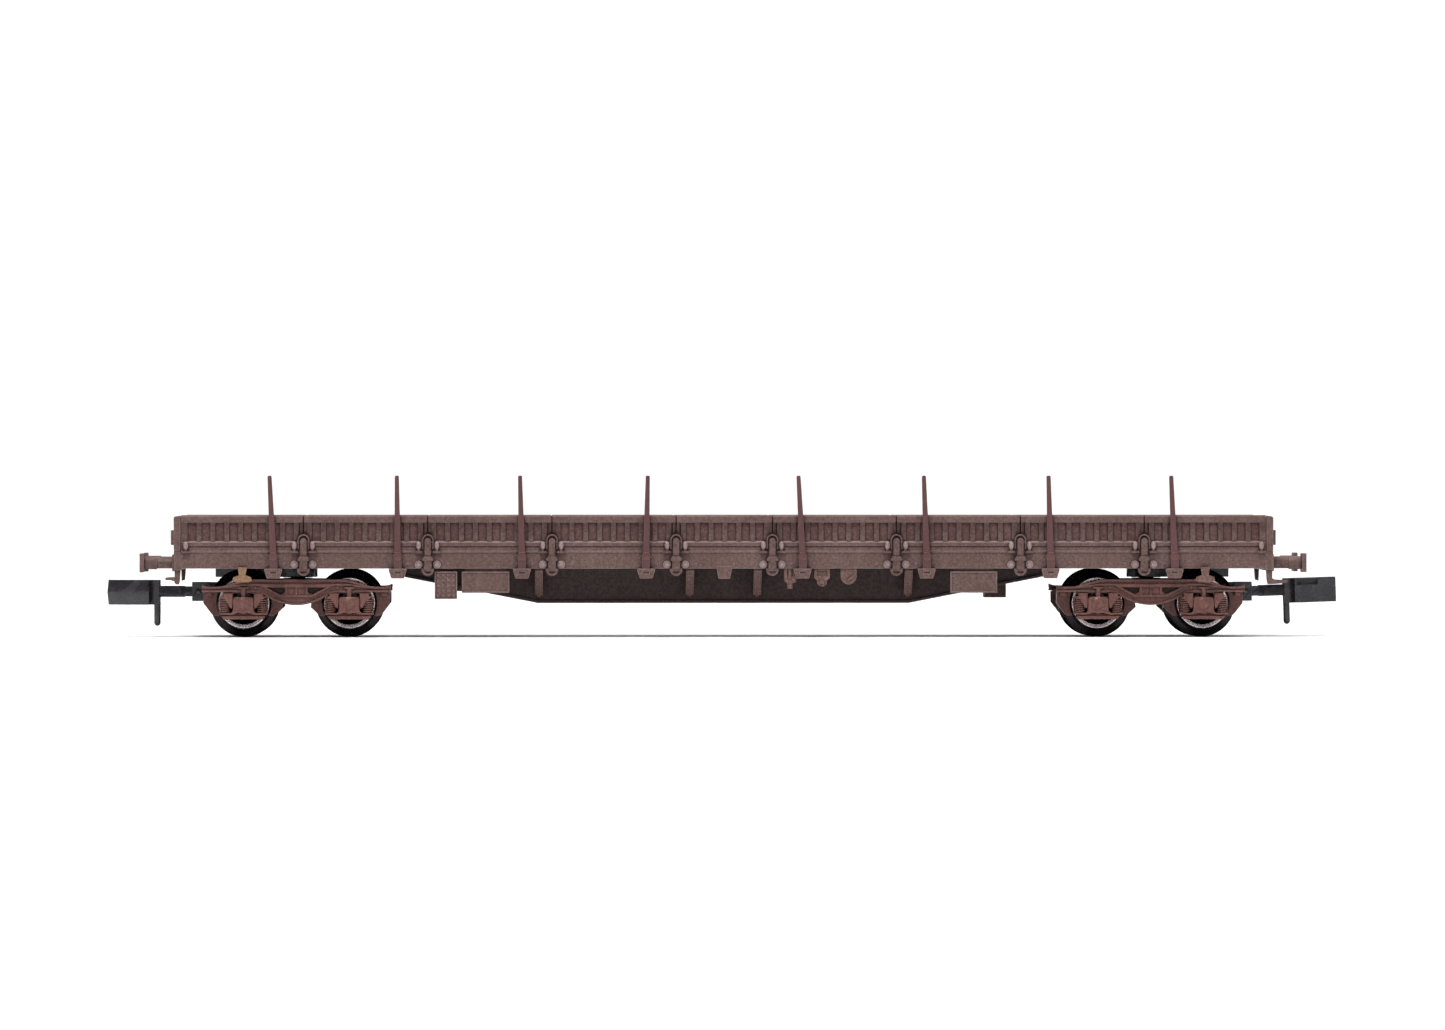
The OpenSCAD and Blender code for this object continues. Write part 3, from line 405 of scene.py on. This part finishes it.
def middle(verts):
    return sum((v.co for v in verts), Vector()) / len(verts)


def refined(node, bevel=0.06, keep=None, suffix="moulding", look_list=None):
    """A softened copy of a CAD node that stands for it."""
    slot = slot_of_node[node]
    bm = cad_copy(node, keep)
    soften(bm, bevel)
    return finished_piece(f"{node}_{suffix}", bm, slot, body_of_node[node], [node],
                          look_list=look_list)


def side_slab(outlines, out0, out1, bevel=0.05):
    """Outlines of (x, height), the first outer and the rest holes, as a rounded slab that
    stands between two distances out on the right-hand side."""
    curve = bpy.data.curves.new("outline", "CURVE")
    curve.dimensions = "2D"
    curve.fill_mode = "BOTH"
    curve.extrude = (out1 - out0) / 2 - bevel
    curve.bevel_depth = bevel
    curve.bevel_resolution = 1
    curve.offset = -bevel
    for points in outlines:
        spline = curve.splines.new("POLY")
        spline.points.add(len(points) - 1)
        for place, (x, h) in zip(spline.points, points):
            place.co = (x, h, 0.0, 1.0)
        spline.use_cyclic_u = True
    holder = bpy.data.objects.new("outline", curve)
    mesh = bpy.data.meshes.new_from_object(holder)
    bm = bmesh.new()
    bm.from_mesh(mesh)
    bpy.data.objects.remove(holder)
    bpy.data.curves.remove(curve)
    bpy.data.meshes.remove(mesh)
    bmesh.ops.remove_doubles(bm, verts=bm.verts, dist=0.0005)
    bmesh.ops.dissolve_limit(bm, angle_limit=math.radians(1.0), verts=bm.verts, edges=bm.edges)
    for face in bm.faces:
        slope = abs(face.normal.z)
        # sloped faces of the rounded edges take the lighter edge material: painted highlight,
        # partly edge wear
        face.material_index = EDGE if 0.1 < slope < 0.9 else MAIN
    bm.transform(Matrix.Translation((0, -(out0 + out1) / 2, up(0)))
                 @ Matrix.Rotation(math.radians(90), 4, "X"))
    bmesh.ops.recalc_face_normals(bm, faces=bm.faces)
    return bm


def lathe(profile, origin, axis="Y", segments=64):
    """Closed profile of (radius, distance along the axis), with an optional material index."""
    bm = bmesh.new()
    turn = {"X": Matrix.Rotation(math.radians(90), 4, "Y"),
            "Y": Matrix.Rotation(math.radians(-90), 4, "X"),
            "Z": Matrix.Identity(4)}[axis]
    rings = []
    for point in profile:
        r, z = point[:2]
        if r < 1e-6:
            rings.append([bm.verts.new((0, 0, z))])
            continue
        rings.append([bm.verts.new((r * math.cos(a), r * math.sin(a), z))
                      for a in (2 * math.pi * k / segments for k in range(segments))])
    for k, point in enumerate(profile):
        a, b = rings[k], rings[(k + 1) % len(rings)]
        if len(a) == 1 and len(b) == 1:
            continue
        for i in range(segments):
            j = (i + 1) % segments
            corners = [a[i % len(a)], a[j % len(a)], b[j % len(b)], b[i % len(b)]]
            face = bm.faces.new(list(dict.fromkeys(corners)))
            face.material_index = point[2] if len(point) > 2 else MAIN
    bm.transform(Matrix.Translation(origin) @ turn)
    bmesh.ops.recalc_face_normals(bm, faces=bm.faces)
    return bm


def tube(path, radius, sides=10):
    """Round wire along a list of points."""
    bm = bmesh.new()
    rings = []
    normal = Vector((0, 0, 1))
    for k, place in enumerate(path):
        ahead = path[min(k + 1, len(path) - 1)] - path[max(k - 1, 0)]
        ahead.normalize()
        side = ahead.cross(normal)
        if side.length < 1e-3:
            side = ahead.cross(Vector((1, 0, 0)))
        side.normalize()
        over = side.cross(ahead)
        rings.append([bm.verts.new(place + radius * (math.cos(a) * side + math.sin(a) * over))
                      for a in (2 * math.pi * i / sides for i in range(sides))])
    for a, b in zip(rings, rings[1:]):
        for i in range(sides):
            j = (i + 1) % sides
            bm.faces.new((a[i], a[j], b[j], b[i]))
    bm.faces.new(rings[0])
    bm.faces.new(rings[-1])
    bmesh.ops.recalc_face_normals(bm, faces=bm.faces)
    return bm


def coil(origin, radius, wire, turns, height, steps=20):
    """Upright helical spring with its lower end at the origin."""
    count = int(turns * steps)
    path = [Vector(origin) + Vector((radius * math.cos(2 * math.pi * k / steps),
                                     radius * math.sin(2 * math.pi * k / steps),
                                     height * k / count)) for k in range(count + 1)]
    return tube(path, wire)


def block(low, high, bevel=0.05):
    """Box with rounded edges between two corners."""
    bm = bmesh.new()
    bmesh.ops.create_cube(bm, size=1.0)
    low, high = Vector(low), Vector(high)
    bm.transform(Matrix.Translation((low + high) / 2)
                 @ Matrix.Diagonal((*(high - low), 1.0)))
    soften(bm, bevel)
    return bm


def joined(parts):
    """One bmesh out of several."""
    whole = bmesh.new()
    for part in parts:
        mesh = bpy.data.meshes.new("part")
        part.to_mesh(mesh)
        part.free()
        whole.from_mesh(mesh)
        bpy.data.meshes.remove(mesh)
    return whole


def moved(bm, matrix):
    """The bmesh after a transform, with its faces still outward."""
    bm.transform(matrix)
    if matrix.determinant() < 0:
        bmesh.ops.reverse_faces(bm, faces=bm.faces)
    return bm


# ---------- body ----------

def strip(points, thickness):
    """Outline of a strip of even thickness along a line of (x, height)."""
    over, under = [], []
    for k, (x, h) in enumerate(points):
        x0, h0 = points[max(k - 1, 0)]
        x1, h1 = points[min(k + 1, len(points) - 1)]
        across = Vector((h0 - h1, x1 - x0)).normalized() * thickness / 2
        over.append((x + across.x, h + across.y))
        under.append((x - across.x, h - across.y))
    return over + under[::-1]


def mirrored(points):
    """Points to the right of the middle, continued to the left: from -x to +x."""
    return [(-x, h) for x, h in reversed(points) if x > 0] + list(points)


BODY_LOOKS = (looks["body_brown"], edge_looks["body_brown"])
# drop sides: how far out the fields and the groove lie, and the heights that bound them
FIELD_OUT, BAND_TOP, RIB_TOP = 8.33, 9.45, 11.5
GROOVE_OUT, GROOVE_LOW, GROOVE_TOP = 8.51, 8.74, 8.89
# hinge posts: a bolt on each side of the post
BOLT_AWAY, BOLT_H, BOLT_R, BOLT_OUT = 0.97, 6.94, 0.43, 8.6
# latch handles: the oval grip is above and outside these
GRIP_LOW, GRIP_OUT = 8.55, 8.66


def build_drop_sides(side):
    """The ribbed boards: darker fields between the ribs, painted shade in the groove, a painted
    highlight on the upper edges.
    """
    node = f"drop_sides_{side}"
    bm = cad_copy(node)
    soften(bm, 0.05)
    for face in bm.faces:
        place = face.calc_center_median()
        h, out = place.z - RAIL_Z, abs(place.y)
        flat = abs(face.normal.y) > 0.9
        if flat and abs(out - FIELD_OUT) < 0.03 and BAND_TOP - 0.1 < h < RIB_TOP:
            face.material_index = THIRD
        # faces in the groove take the near-black groove look: painted shade
        elif GROOVE_LOW < h < GROOVE_TOP and out > GROOVE_OUT - 0.03 and (
                not flat or out < GROOVE_OUT + 0.03):
            face.material_index = FOURTH
        # upward faces at the top of the band take the lighter edge material: painted highlight
        elif face.normal.z > 0.3 and abs(h - BAND_TOP) < 0.25 and out > FIELD_OUT:
            face.material_index = EDGE
    finished_piece(f"{node}_moulding", bm, slot_of_node[node], body_of_node[node], [node],
                   look_list=(*BODY_LOOKS, field_look, groove_shade_look))


UNDER_NODES = ["underframe", "girder_right", "girder_left"]
PLAIN_NODES = ["headstock_front", "headstock_rear", "side_sill_right", "side_sill_left",
               "cross_bearers", "corner_posts", "end_board_front", "end_board_rear",
               "stake_pockets_right", "stake_pockets_left", "buffer_casings",
               "buffer_plungers", "label_boards", "brake_boxes", "brake_levers", "end_steps",
               "coupler_guide_front", "coupler_guide_rear", "brake_shoes_front",
               "brake_shoes_rear", "coupler_link_front", "coupler_link_rear",
               "coupler_head_front", "coupler_head_rear", "ballast_weight",
               "pivot_screw_front", "pivot_screw_rear", "link_pin_front", "link_pin_rear"]
for side in ("right", "left"):
    build_drop_sides(side)
for node in PLAIN_NODES:
    refined(node)
# the underframe takes the darker underside looks: partly dirt, partly painted shade under the body
for node in UNDER_NODES:
    refined(node, look_list=(under_look, under_edge))


def build_hinge_posts(side):
    """The posts as moulded, with a painted highlight on their round bolts."""
    node = f"hinge_posts_{side}"
    bm = cad_copy(node)
    soften(bm, 0.05)
    for face in bm.faces:
        place = face.calc_center_median()
        from_bolt = min(math.hypot(place.x - x - d, place.z - up(BOLT_H))
                        for x in hinge_x for d in (-BOLT_AWAY, BOLT_AWAY))
        # faces of the bolts take the pale bolt look: painted highlight
        if from_bolt < BOLT_R and abs(place.y) > BOLT_OUT:
            face.material_index = THIRD
    finished_piece(f"{node}_moulding", bm, slot_of_node[node], body_of_node[node], [node],
                   look_list=(*BODY_LOOKS, bolt_highlight_look))


def latch_middles(side):
    """Where the latch handles of a side are along the car."""
    bm = cad_copy(f"latch_handles_{side}")
    found = sorted({round(middle(part).x, 2) for part in islands(bm)})
    bm.free()
    return found


latch_x = latch_middles("right")
# each hinge post stands midway between the handles of two neighbouring boards
hinge_x = [(a + b) / 2 for a, b in zip(latch_x, latch_x[1:]) if abs(b - a - 2 * BOLT_AWAY) < 0.1]


def build_latches(side):
    """Oval handles with a painted highlight, on their dark brackets."""
    node = f"latch_handles_{side}"
    bm = cad_copy(node)
    soften(bm, 0.04)
    for face in bm.faces:
        place = face.calc_center_median()
        # faces of the grips take the pale bolt look: painted highlight
        if place.z > up(GRIP_LOW) and abs(place.y) > GRIP_OUT:
            face.material_index = THIRD
    finished_piece(f"{node}_moulding", bm, slot_of_node[node], body_of_node[node], [node],
                   look_list=(*BODY_LOOKS, bolt_highlight_look))


for side in ("right", "left"):
    build_hinge_posts(side)
    build_latches(side)

def rear_right(place):
    return place.x < 0 and place.y < 0


# the photo shows one of the four hooks in a bronze tone
refined("rope_hooks", keep=lambda place: not rear_right(place), suffix="brown")
refined("rope_hooks", keep=rear_right, suffix="bronze", look_list=(bronze_look, bronze_look))


def build_floor():
    """Separate planks across the car on a thin deck."""
    low, high = box_mm("floor_deck")
    plank_l, gap, thick = 1.3, 0.1, 0.3
    parts = [block((low.x, low.y, low.z), (high.x, high.y, high.z - thick), 0.03)]
    count = round((high.x - low.x) / plank_l)
    step = (high.x - low.x) / count
    for k in range(count):
        x = low.x + k * step
        drop = random.uniform(0.0, 0.03)
        parts.append(block((x + gap / 2, low.y, high.z - thick - 0.02),
                           (x + step - gap / 2, high.y, high.z - drop), 0.04))
    finished_piece("floor_deck_planks", joined(parts), "body_brown", "car_body", ["floor_deck"],
                   look_list=(floor_look, floor_look))


build_floor()
refined("stakes", bevel=0.1)


# ---------- bogies ----------

# bogie: axle and frame end from its middle, spring from its axle and from the middle plane
AXLE_AWAY, HALF_LENGTH = 5.625, 10.05
SPRING_AWAY, SPRING_OUT = 2.02, 7.42
BOLSTER_LOW, BOLSTER_TOP = 3.9, 5.1
BOLSTER_HALF, BOLSTER_END = 1.7, 6.9
PIVOT_BORE_R, PIVOT_PAD_R, PIVOT_PAD_TOP = 0.85, 1.6, 5.45


def flange_h(x):
    """Height of the top of a side frame: level, then an S down, then up at the end."""
    level_h, level_to, fall, fall_length = 5.34, 4.6, 0.82, 4.3
    lift, lift_from, lift_length = 0.22, 8.9, 1.15
    a = abs(x)
    fallen = math.sin(math.pi / 2 * max(0.0, min(1.0, (a - level_to) / fall_length))) ** 2
    lifted = max(0.0, (a - lift_from) / lift_length) ** 2
    return level_h - fall * fallen + lift * lifted


def belly_h(x):
    """Height of the underside of a side frame between the wheels: a shallow bow."""
    return 2.6 + 0.094 * x * x


def axlebox_parts(x):
    """Axlebox, guide, stop, springs, links and yoke round an axle."""
    def at(points):
        return [(x + a, h) for a, h in points]

    parts = [
        # guide plate with its two openings
        side_slab([at([(-2.15, 3.2), (2.15, 3.2), (2.15, 4.05), (-2.15, 4.05)])]
                  + [at([(s * 0.67 - 0.42, 3.48), (s * 0.67 + 0.42, 3.48),
                         (s * 0.67 + 0.42, 3.82), (s * 0.67 + 0.36, 3.88),
                         (s * 0.67 - 0.36, 3.88), (s * 0.67 - 0.42, 3.82)]) for s in (-1, 1)],
                  7.05, 7.5, 0.04),
        # stop
        side_slab([at([(-0.2, 3.35), (0.2, 3.35), (0.2, 4.3), (0.53, 4.36), (0.53, 4.54),
                       (-0.53, 4.54), (-0.53, 4.36), (-0.2, 4.3)])], 7.3, 7.8, 0.05),
        # box with rounded shoulders and flared foot
        side_slab([at([(-1.35, 1.75), (1.35, 1.75), (1.14, 1.95), (1.1, 2.15), (1.1, 3.1),
                       (1.04, 3.3), (0.85, 3.42), (0.5, 3.48), (-0.5, 3.48), (-0.85, 3.42),
                       (-1.04, 3.3), (-1.1, 3.1), (-1.1, 2.15), (-1.14, 1.95)])],
                  6.9, 7.95, 0.12),
        # yoke: wavy strap, thin plate, lower bar
        side_slab([strip(at([(-2.6, 1.72), (-2.0, 1.7), (-1.4, 1.66), (-1.15, 1.7),
                             (-0.9, 1.78), (-0.7, 1.86), (-0.5, 1.89), (-0.25, 1.84),
                             (0, 1.76), (0.25, 1.84), (0.5, 1.89), (0.7, 1.86), (0.9, 1.78),
                             (1.15, 1.7), (1.4, 1.66), (2.0, 1.7), (2.6, 1.72)]), 0.2)],
                  6.9, 8.0, 0.05),
        side_slab([at([(-2.2, 1.3), (2.2, 1.3), (2.45, 1.7), (-2.45, 1.7)])], 6.9, 7.6, 0.03),
        side_slab([at([(-2.1, 1.1), (2.1, 1.1), (2.3, 1.45), (-2.3, 1.45)])], 6.9, 7.9, 0.06),
        # domed cover
        # the rim of the cover takes the lighter edge material: painted highlight
        lathe([(0, -8.15, 0), (0.3, -8.13, 0), (0.52, -8.07, 0), (0.68, -7.98, 1),
               (0.75, -7.88, 1), (0, -7.88, 0)], (x, 0, up(2.78)), "Y", 40),
    ]
    for s in (-1, 1):
        spring_x = x + s * SPRING_AWAY
        parts.append(coil((spring_x, -SPRING_OUT, up(1.78)), 0.55, 0.07, 6.8, 1.55))
        # the core inside the coil takes the near-black bogie_shadow look: painted shade between
        # the coils
        parts.append(lathe([(0, up(1.3), THIRD), (0.38, up(1.3), THIRD),
                            (0.38, up(3.45), THIRD), (0, up(3.45), THIRD)],
                           (spring_x, -SPRING_OUT, 0), "Z", 24))
        # the rim of each cap takes the lighter edge material: painted highlight
        parts.append(lathe([(0, up(3.38), 0), (0.5, up(3.38), 0), (0.55, up(3.42), 1),
                            (0.55, up(3.48), 1), (0.5, up(3.52), 0), (0, up(3.52), 0)],
                           (spring_x, -SPRING_OUT, 0), "Z", 28))
        link = [(1.15, 3.85), (2.1, 3.85), (2.1, 3.3), (1.75, 2.9), (1.45, 2.35), (1.2, 2.25),
                (1.12, 2.9)]
        parts.append(side_slab([at([(s * a, h) for a, h in link])], 7.45, 8.0, 0.12))
    return parts


def bogie_side():
    """The right-hand side frame about the bogie's middle, as one mesh."""
    window = [(-3.2, 4.5), (3.2, 4.5), (1.6, 3.68), (-1.6, 3.68)]
    edge_x = [0.0, 1.5, 3.0, 4.6] + [4.6 + 0.43 * k for k in range(1, 11)] + [9.4, 9.75, 10.05]
    belly_x = [0.4 * k for k in range(10)]
    rib = [(x, belly_h(x) + 0.09) for x in belly_x] + [(4.0, 4.0), (4.5, 4.08), (5.2, 4.1),
                                                      (HALF_LENGTH, 4.1)]
    upper = [(3.7, 4.76), (4.7, 4.78), (5.6, 4.74), (6.6, 4.63), (7.6, 4.52), (8.7, 4.46),
             (HALF_LENGTH, 4.47)]
    web = mirrored([(x, belly_h(x)) for x in belly_x] + [(3.95, 4.02), (9.95, 4.05)])
    web += [(x, flange_h(x) - 0.12) for x in sorted({s * x for x in edge_x for s in (-1, 1)
                                                     if x < 10.0}, reverse=True)]
    # web, plate behind the window, inner plate, window frame, belly rib and top flange
    parts = [
        side_slab([web, window], 7.05, 7.35, 0.03),
        side_slab([[(-3.7, 3.45), (3.7, 3.45), (3.7, 4.8), (-3.7, 4.8)]], 6.9, 7.08, 0.02),
        side_slab([[(-1.08, 3.6), (1.08, 3.6), (1.08, 4.55), (-1.08, 4.55)]], 7.02, 7.4, 0.02),
        side_slab([[(-3.85, 4.84), (-3.85, 4.68), (-1.75, 3.48), (1.75, 3.48), (3.85, 4.68),
                    (3.85, 4.84)], window], 7.1, 7.62, 0.03),
        side_slab([strip(mirrored(rib), 0.19)], 7.05, 7.62, 0.05),
        side_slab([strip(mirrored([(x, flange_h(x) - 0.11) for x in edge_x]), 0.22)],
                  6.9, 7.55, 0.06),
    ]
    # the plate behind the window takes the near-black bogie_shadow look: painted shadow seen
    # through the window
    for face in parts[1].faces:     # the plate behind the window
        face.material_index = THIRD
    # upper rib, frame end, brace beside the inner plate, rivet and axlebox
    for s in (-1, 1):
        line = [(s * x, h) for x, h in upper]
        parts.append(side_slab([strip(line, 0.19)], 7.05, 7.6, 0.05))
        end = [(9.1, 4.0), (10.03, 4.0), (10.03, 4.78), (9.75, 4.62), (9.1, 4.42)]
        parts.append(side_slab([[(s * x, h) for x, h in end]], 6.95, 7.45, 0.04))
        brace = [(1.06, 3.6), (1.85, 3.72), (1.5, 3.8), (1.25, 3.98), (1.16, 4.3), (1.06, 4.3)]
        parts.append(side_slab([[(s * x, h) for x, h in brace]], 7.1, 7.5, 0.03))
        # the rivet takes the lighter edge material all over: painted highlight
        parts.append(lathe([(0, -7.5, 1), (0.07, -7.49, 1), (0.12, -7.43, 1), (0.13, -7.3, 1),
                            (0, -7.3, 1)], (s * 4.35, 0, up(4.47)), "Y", 16))
        parts += axlebox_parts(s * AXLE_AWAY)
    # bars across the window
    for x in (-1.08, 0.0, 1.08):
        parts.append(side_slab([[(x - 0.1, 3.55), (x + 0.1, 3.55), (x + 0.1, 4.6),
                                 (x - 0.1, 4.6)]], 7.1, 7.58, 0.04))
    # root of the bolster
    parts.append(block((-1.7, -7.4, up(4.55)), (1.7, -6.55, up(5.1)), 0.05))
    return joined(parts)


def build_bogie(end):
    """Both side frames, the bolster between them and its pad round the pivot."""
    node = f"bogie_frame_{end}"
    body = body_of_node[node]
    middle_x = joint_place[f"bogie_swivel_{end}"].x
    looks_used = (looks["bogie_brown"], edge_looks["bogie_brown"], bogie_dark_look)
    for side, name in ((1, "right"), (-1, "left")):
        frame_mesh = moved(bogie_side(), Matrix.Translation((middle_x, 0, 0))
                           @ Matrix.Diagonal((1, side, 1, 1)))
        finished_piece(f"{node}_{name}", frame_mesh, "bogie_brown", body, [node],
                       look_list=looks_used)
    low, top, pad_top, round_r = up(BOLSTER_LOW), up(BOLSTER_TOP), up(PIVOT_PAD_TOP), 0.06
    pad = lathe([(PIVOT_BORE_R, low), (PIVOT_PAD_R, low), (PIVOT_PAD_R, pad_top - round_r),
                 (PIVOT_PAD_R - round_r, pad_top), (PIVOT_BORE_R + round_r, pad_top),
                 (PIVOT_BORE_R, pad_top - round_r)], (middle_x, 0, 0), "Z", 64)
    # the bolster goes round the bore: a half on each side, and a fill at each end of it
    halves = [block((middle_x + a, -BOLSTER_END, low), (middle_x + b, BOLSTER_END, top), round_r)
              for a, b in ((-BOLSTER_HALF, -PIVOT_BORE_R), (PIVOT_BORE_R, BOLSTER_HALF))]
    past_bore = PIVOT_BORE_R + 0.01
    fills = [block((middle_x - 0.9, a, low), (middle_x + 0.9, b, top - 0.01), 0.02)
             for a, b in ((-BOLSTER_END, -past_bore), (past_bore, BOLSTER_END))]
    finished_piece(f"{node}_bolster", joined([pad] + halves + fills), "bogie_brown", body,
                   [node], look_list=looks_used)


for end in ("front", "rear"):
    build_bogie(end)


# ---------- wheels ----------

def build_wheelset(number):
    """Blackened flanged wheels with a bright turned face, on a bright axle."""
    origin = joint_place[f"wheelset_{number}_spin"]
    body = f"wheelset_{number}"
    low, high = box_mm(f"wheels_{number}")
    flange_r = (high.z - low.z) / 2
    tread_r, bore_r, wheel_width = AXLE_H, 0.76, 2.15
    face = high.y
    back = face - wheel_width
    dark, bright = MAIN, EDGE
    wheel = [
        (bore_r, back, dark), (flange_r - 0.25, back, dark), (flange_r - 0.06, back + 0.1, dark),
        (flange_r, back + 0.25, dark), (flange_r - 0.04, back + 0.36, dark),
        (flange_r - 0.16, back + 0.46, dark), (tread_r + 0.28, back + 0.58, dark),
        (tread_r + 0.14, back + 0.64, dark), (tread_r + 0.04, back + 0.76, dark),
        (tread_r, back + 0.9, dark), (tread_r - 0.03, face - 0.12, dark),
        (tread_r - 0.07, face - 0.03, dark), (tread_r - 0.14, face, bright),
        (tread_r - 0.2, face, bright), (tread_r - 0.5, face - 0.03, bright),
        (tread_r - 0.58, face - 0.12, dark), (tread_r - 0.66, face - 0.4, dark),
        (1.9, face - 0.7, dark), (1.5, face - 0.78, dark), (1.25, face - 0.6, dark),
        (1.18, face - 0.12, dark), (1.1, face - 0.05, dark), (bore_r, face - 0.05, dark),
    ]
    parts = []
    for side in (1, -1):
        shape = lathe(wheel, (0, 0, 0), "Y", 128)
        parts.append(moved(shape, Matrix.Translation(origin) @ Matrix.Diagonal((1, side, 1, 1))))
    finished_piece(f"wheels_{number}_turned", joined(parts), "wheel_metal", body,
                   [f"wheels_{number}"], 30.0, (looks["wheel_metal"], wheel_face_look))
    end = box_mm(f"axle_{number}")[1].y
    tip_r, journal_r, shoulder_r, seat_r = 0.28, 0.4, 0.46, 0.75
    half = [(seat_r, 6.0), (shoulder_r, 6.2), (journal_r, 6.3), (journal_r, end - 0.12),
            (tip_r, end), (0, end)]
    axle = lathe([(r, -y) for r, y in reversed(half)] + half, origin, "Y", 48)
    finished_piece(f"axle_{number}_turned", axle, "axle_steel", body, [f"axle_{number}"], 30.0)
    low, high = box_mm(f"wheel_bush_{number}")
    bush = lathe([(0.755, low.y), (0.9, low.y), (0.945, low.y + 0.06), (0.945, high.y - 0.06),
                  (0.9, high.y), (0.755, high.y)], Vector((origin.x, 0, origin.z)), "Y", 48)
    finished_piece(f"wheel_bush_{number}_turned", bush, "bush_plastic", body,
                   [f"wheel_bush_{number}"], 30.0)


for number in (1, 2, 3, 4):
    build_wheelset(number)


def build_centring_spring(end):
    """Wire coil round the pin of a coupler link."""
    low, high = box_mm(f"centring_spring_{end}")
    wire = 0.07
    radius = (high.x - low.x) / 2 - wire
    origin = ((low.x + high.x) / 2, (low.y + high.y) / 2, low.z + wire)
    spring = coil(origin, radius, wire, 2.5, high.z - low.z - 2 * wire)
    finished_piece(f"centring_spring_{end}_wound", spring, "spring_steel", "car_body",
                   [f"centring_spring_{end}"])


for end in ("front", "rear"):
    build_centring_spring(end)


# ---------- stage, light and camera ----------

def area_light(name, place, size, watts, target=(0.0, 0.0, 0.008)):
    light = bpy.data.lights.new(name, "AREA")
    light.shape = "RECTANGLE"
    light.size, light.size_y = size
    light.energy = watts
    lamp = bpy.data.objects.new(name, light)
    bpy.context.scene.collection.objects.link(lamp)
    lamp.location = place
    lamp.rotation_euler = (Vector(target) - Vector(place)).to_track_quat("-Z", "Y").to_euler()


def build_stage():
    """A pale floor that curves up into a pale wall far behind."""
    bm = bmesh.new()
    half_w, front, bend_y, bend_r, top = 4.0, -3.0, 2.0, 1.0, 3.0
    steps = 16
    profile = [(front, 0.0), (bend_y, 0.0)]
    profile += [(bend_y + bend_r * math.sin(a), bend_r - bend_r * math.cos(a))
                for a in (math.pi / 2 * k / steps for k in range(1, steps + 1))]
    profile.append((bend_y + bend_r, top))
    rows = [[bm.verts.new((x, y, z)) for x in (-half_w, half_w)] for y, z in profile]
    for a, b in zip(rows, rows[1:]):
        bm.faces.new((a[0], a[1], b[1], b[0])).smooth = True
    mesh = bpy.data.meshes.new("floor")
    bm.to_mesh(mesh)
    bm.free()
    floor = bpy.data.objects.new("floor", mesh)
    bpy.context.scene.collection.objects.link(floor)
    s = Shader("pale_floor")
    s.set(Roughness=0.9, Specular_IOR_Level=0.1)
    tone = s.ramp(s.noise(0.004, 2.0), 0.3, 0.7)
    s.link(s.mix(tone, (0.93, 0.93, 0.935), (0.95, 0.95, 0.95)), s.bsdf.inputs["Base Color"])
    mesh.materials.append(s.material)


def build_camera():
    """Long lens, square on to the right-hand side, a little left of the middle."""
    camera = bpy.data.cameras.new("camera")
    camera.sensor_width = 36.0
    camera.lens = 225.2
    camera.clip_start = 0.01
    seen = bpy.data.objects.new("camera", camera)
    bpy.context.scene.collection.objects.link(seen)
    side_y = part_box("drop_sides_right")[0].y
    distance, aside, eye_height = 0.961, -0.0224, 0.0156
    target_x, target_height = -0.00019, 0.01303
    place = Vector((aside, side_y - distance, eye_height))
    target = Vector((target_x, side_y, target_height))
    seen.location = place
    seen.rotation_euler = (target - place).to_track_quat("-Z", "Y").to_euler()
    bpy.context.scene.camera = seen


build_stage()
build_camera()
# the wall lamp shines away from the car and keeps the background white
area_light("key", (-0.30, -0.75, 1.05), (0.45, 0.35), 13.0)
area_light("fill", (0.85, -0.9, 0.45), (0.6, 0.6), 2.5)
area_light("top", (0.0, 0.05, 1.1), (1.4, 0.9), 14.0)
area_light("wall", (0.0, 1.2, 1.6), (2.5, 1.0), 34.0, target=(0.0, 2.6, 0.6))

world = bpy.data.worlds.new("studio")
bpy.context.scene.world = world
world.use_nodes = True
world.node_tree.nodes["Background"].inputs["Color"].default_value = (1.0, 1.0, 1.0, 1.0)
world.node_tree.nodes["Background"].inputs["Strength"].default_value = 0.22
bpy.context.scene.view_settings.view_transform = "Standard"
